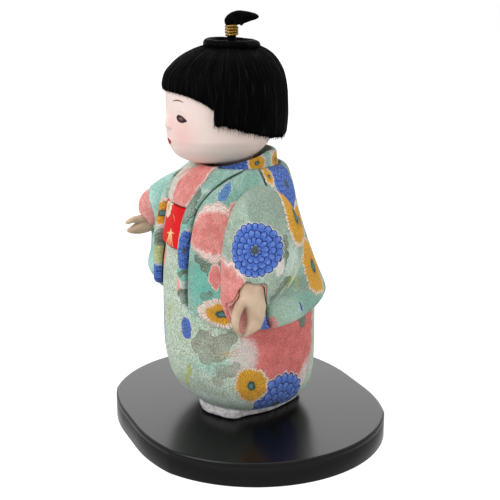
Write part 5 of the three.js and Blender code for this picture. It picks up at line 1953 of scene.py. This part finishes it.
dress(right_lining(), "right_sleeve_lining_pad", "doll", lining_print("right"),
      ["right_sleeve_lining"])
dress(neck_band(), "neck_band_cloth", "doll", neck_print(), ["neck_band"])
dress(jacket_back(), "jacket_back_cloth", "doll", back_print(), ["jacket_back"])
dress(head(), "head_carved", "head", face_gofun(), ["head"])
dress(hair_bob(), "hair_bob_combed", "head", silk_hair("bob"), ["hair_bob"])
dress(hair_fringe(), "hair_fringe_combed", "head", silk_hair("fringe"), ["hair_fringe"])
dress(hair_ring(), "hair_ring_wound", "head", silk_hair("ring", along=0.3), ["hair_ring"])
dress(topknot_stem(), "topknot_stem_hair", "head", silk_hair("stem"), ["topknot_stem"])
dress(topknot_tail(), "topknot_tail_hair", "head", silk_hair("tail", along=0.4),
      ["topknot_tail"])
dress(topknot_cord(), "topknot_cord_twisted", "head", gold_cord(), ["topknot_cord"])

wire = steel_wire()
wood = peg_wood()
for name, finish in (("body_core", pressed_composition()), ("neck_peg", wood), ("stand_peg_left", wood),
                     ("stand_peg_right", wood), ("left_wrist_peg", wire), ("right_wrist_peg", wire)):
    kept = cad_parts[name]
    kept.data.materials.clear()
    kept.data.materials.append(finish)


# Floor and light

def floor():
    corners = [(x * FLOOR_REACH, y * FLOOR_REACH, -STAND_TOP)
               for x, y in ((-1, -1), (1, -1), (1, 1), (-1, 1))]
    ground = new_mesh("floor", corners, [[0, 1, 2, 3]])
    finish = Finish("pale_floor")
    rays = finish.node("ShaderNodeLightPath").socket.node.outputs
    gloss = Value(finish, rays["Is Glossy Ray"])
    seen = Value(finish, rays["Is Camera Ray"]).most(gloss)
    seen = seen.most(Value(finish, rays["Is Transmission Ray"]))

    def diffuse(level):
        return finish.node("ShaderNodeBsdfDiffuse", None, {"Color": (level, level, level, 1)})

    def glow(strength):
        return finish.node("ShaderNodeEmission", None, {"Color": (1, 1, 1, 1), "Strength": strength})

    bright = finish.node("ShaderNodeAddShader", None, {0: diffuse(0.3), 1: glow(0.9)})
    shader = finish.node("ShaderNodeMixShader", None, {0: seen, 1: diffuse(0.7), 2: bright})
    shader = finish.node("ShaderNodeMixShader", None, {0: gloss, 1: shader, 2: glow(0.75)})
    ground.data.materials.append(finish.done(shader))


def area_light(name, place, size, power, shines):
    data = bpy.data.lights.new(name, "AREA")
    data.shape = "DISK"
    data.size = size
    data.energy = power
    lamp = bpy.data.objects.new(name, data)
    lamp.visible_glossy = shines
    lamp.visible_camera = False
    bpy.context.scene.collection.objects.link(lamp)
    lamp.location = place
    aim = Vector(LAMP_TARGET) - lamp.location
    lamp.rotation_euler = aim.to_track_quat("-Z", "Y").to_euler()


def light():
    for name, lamp in LAMPS.items():
        area_light(name, *lamp)
    world = bpy.data.worlds.new("studio")
    bpy.context.scene.world = world
    world.use_nodes = True
    tree = world.node_tree
    tree.nodes.clear()
    rays = tree.nodes.new("ShaderNodeLightPath")
    strength = None
    for ray, level in SURROUNDINGS.items():
        share = tree.nodes.new("ShaderNodeMath")
        share.operation = "MULTIPLY"
        tree.links.new(rays.outputs[ray], share.inputs[0])
        share.inputs[1].default_value = level
        if strength is not None:
            most = tree.nodes.new("ShaderNodeMath")
            most.operation = "MAXIMUM"
            tree.links.new(strength, most.inputs[0])
            tree.links.new(share.outputs[0], most.inputs[1])
            share = most
        strength = share.outputs[0]
    backdrop = tree.nodes.new("ShaderNodeBackground")
    backdrop.inputs["Color"].default_value = (1, 1, 1, 1)
    tree.links.new(strength, backdrop.inputs["Strength"])
    out = tree.nodes.new("ShaderNodeOutputWorld")
    tree.links.new(backdrop.outputs[0], out.inputs["Surface"])


floor()
light()
bpy.context.scene.view_settings.view_transform = "Standard"
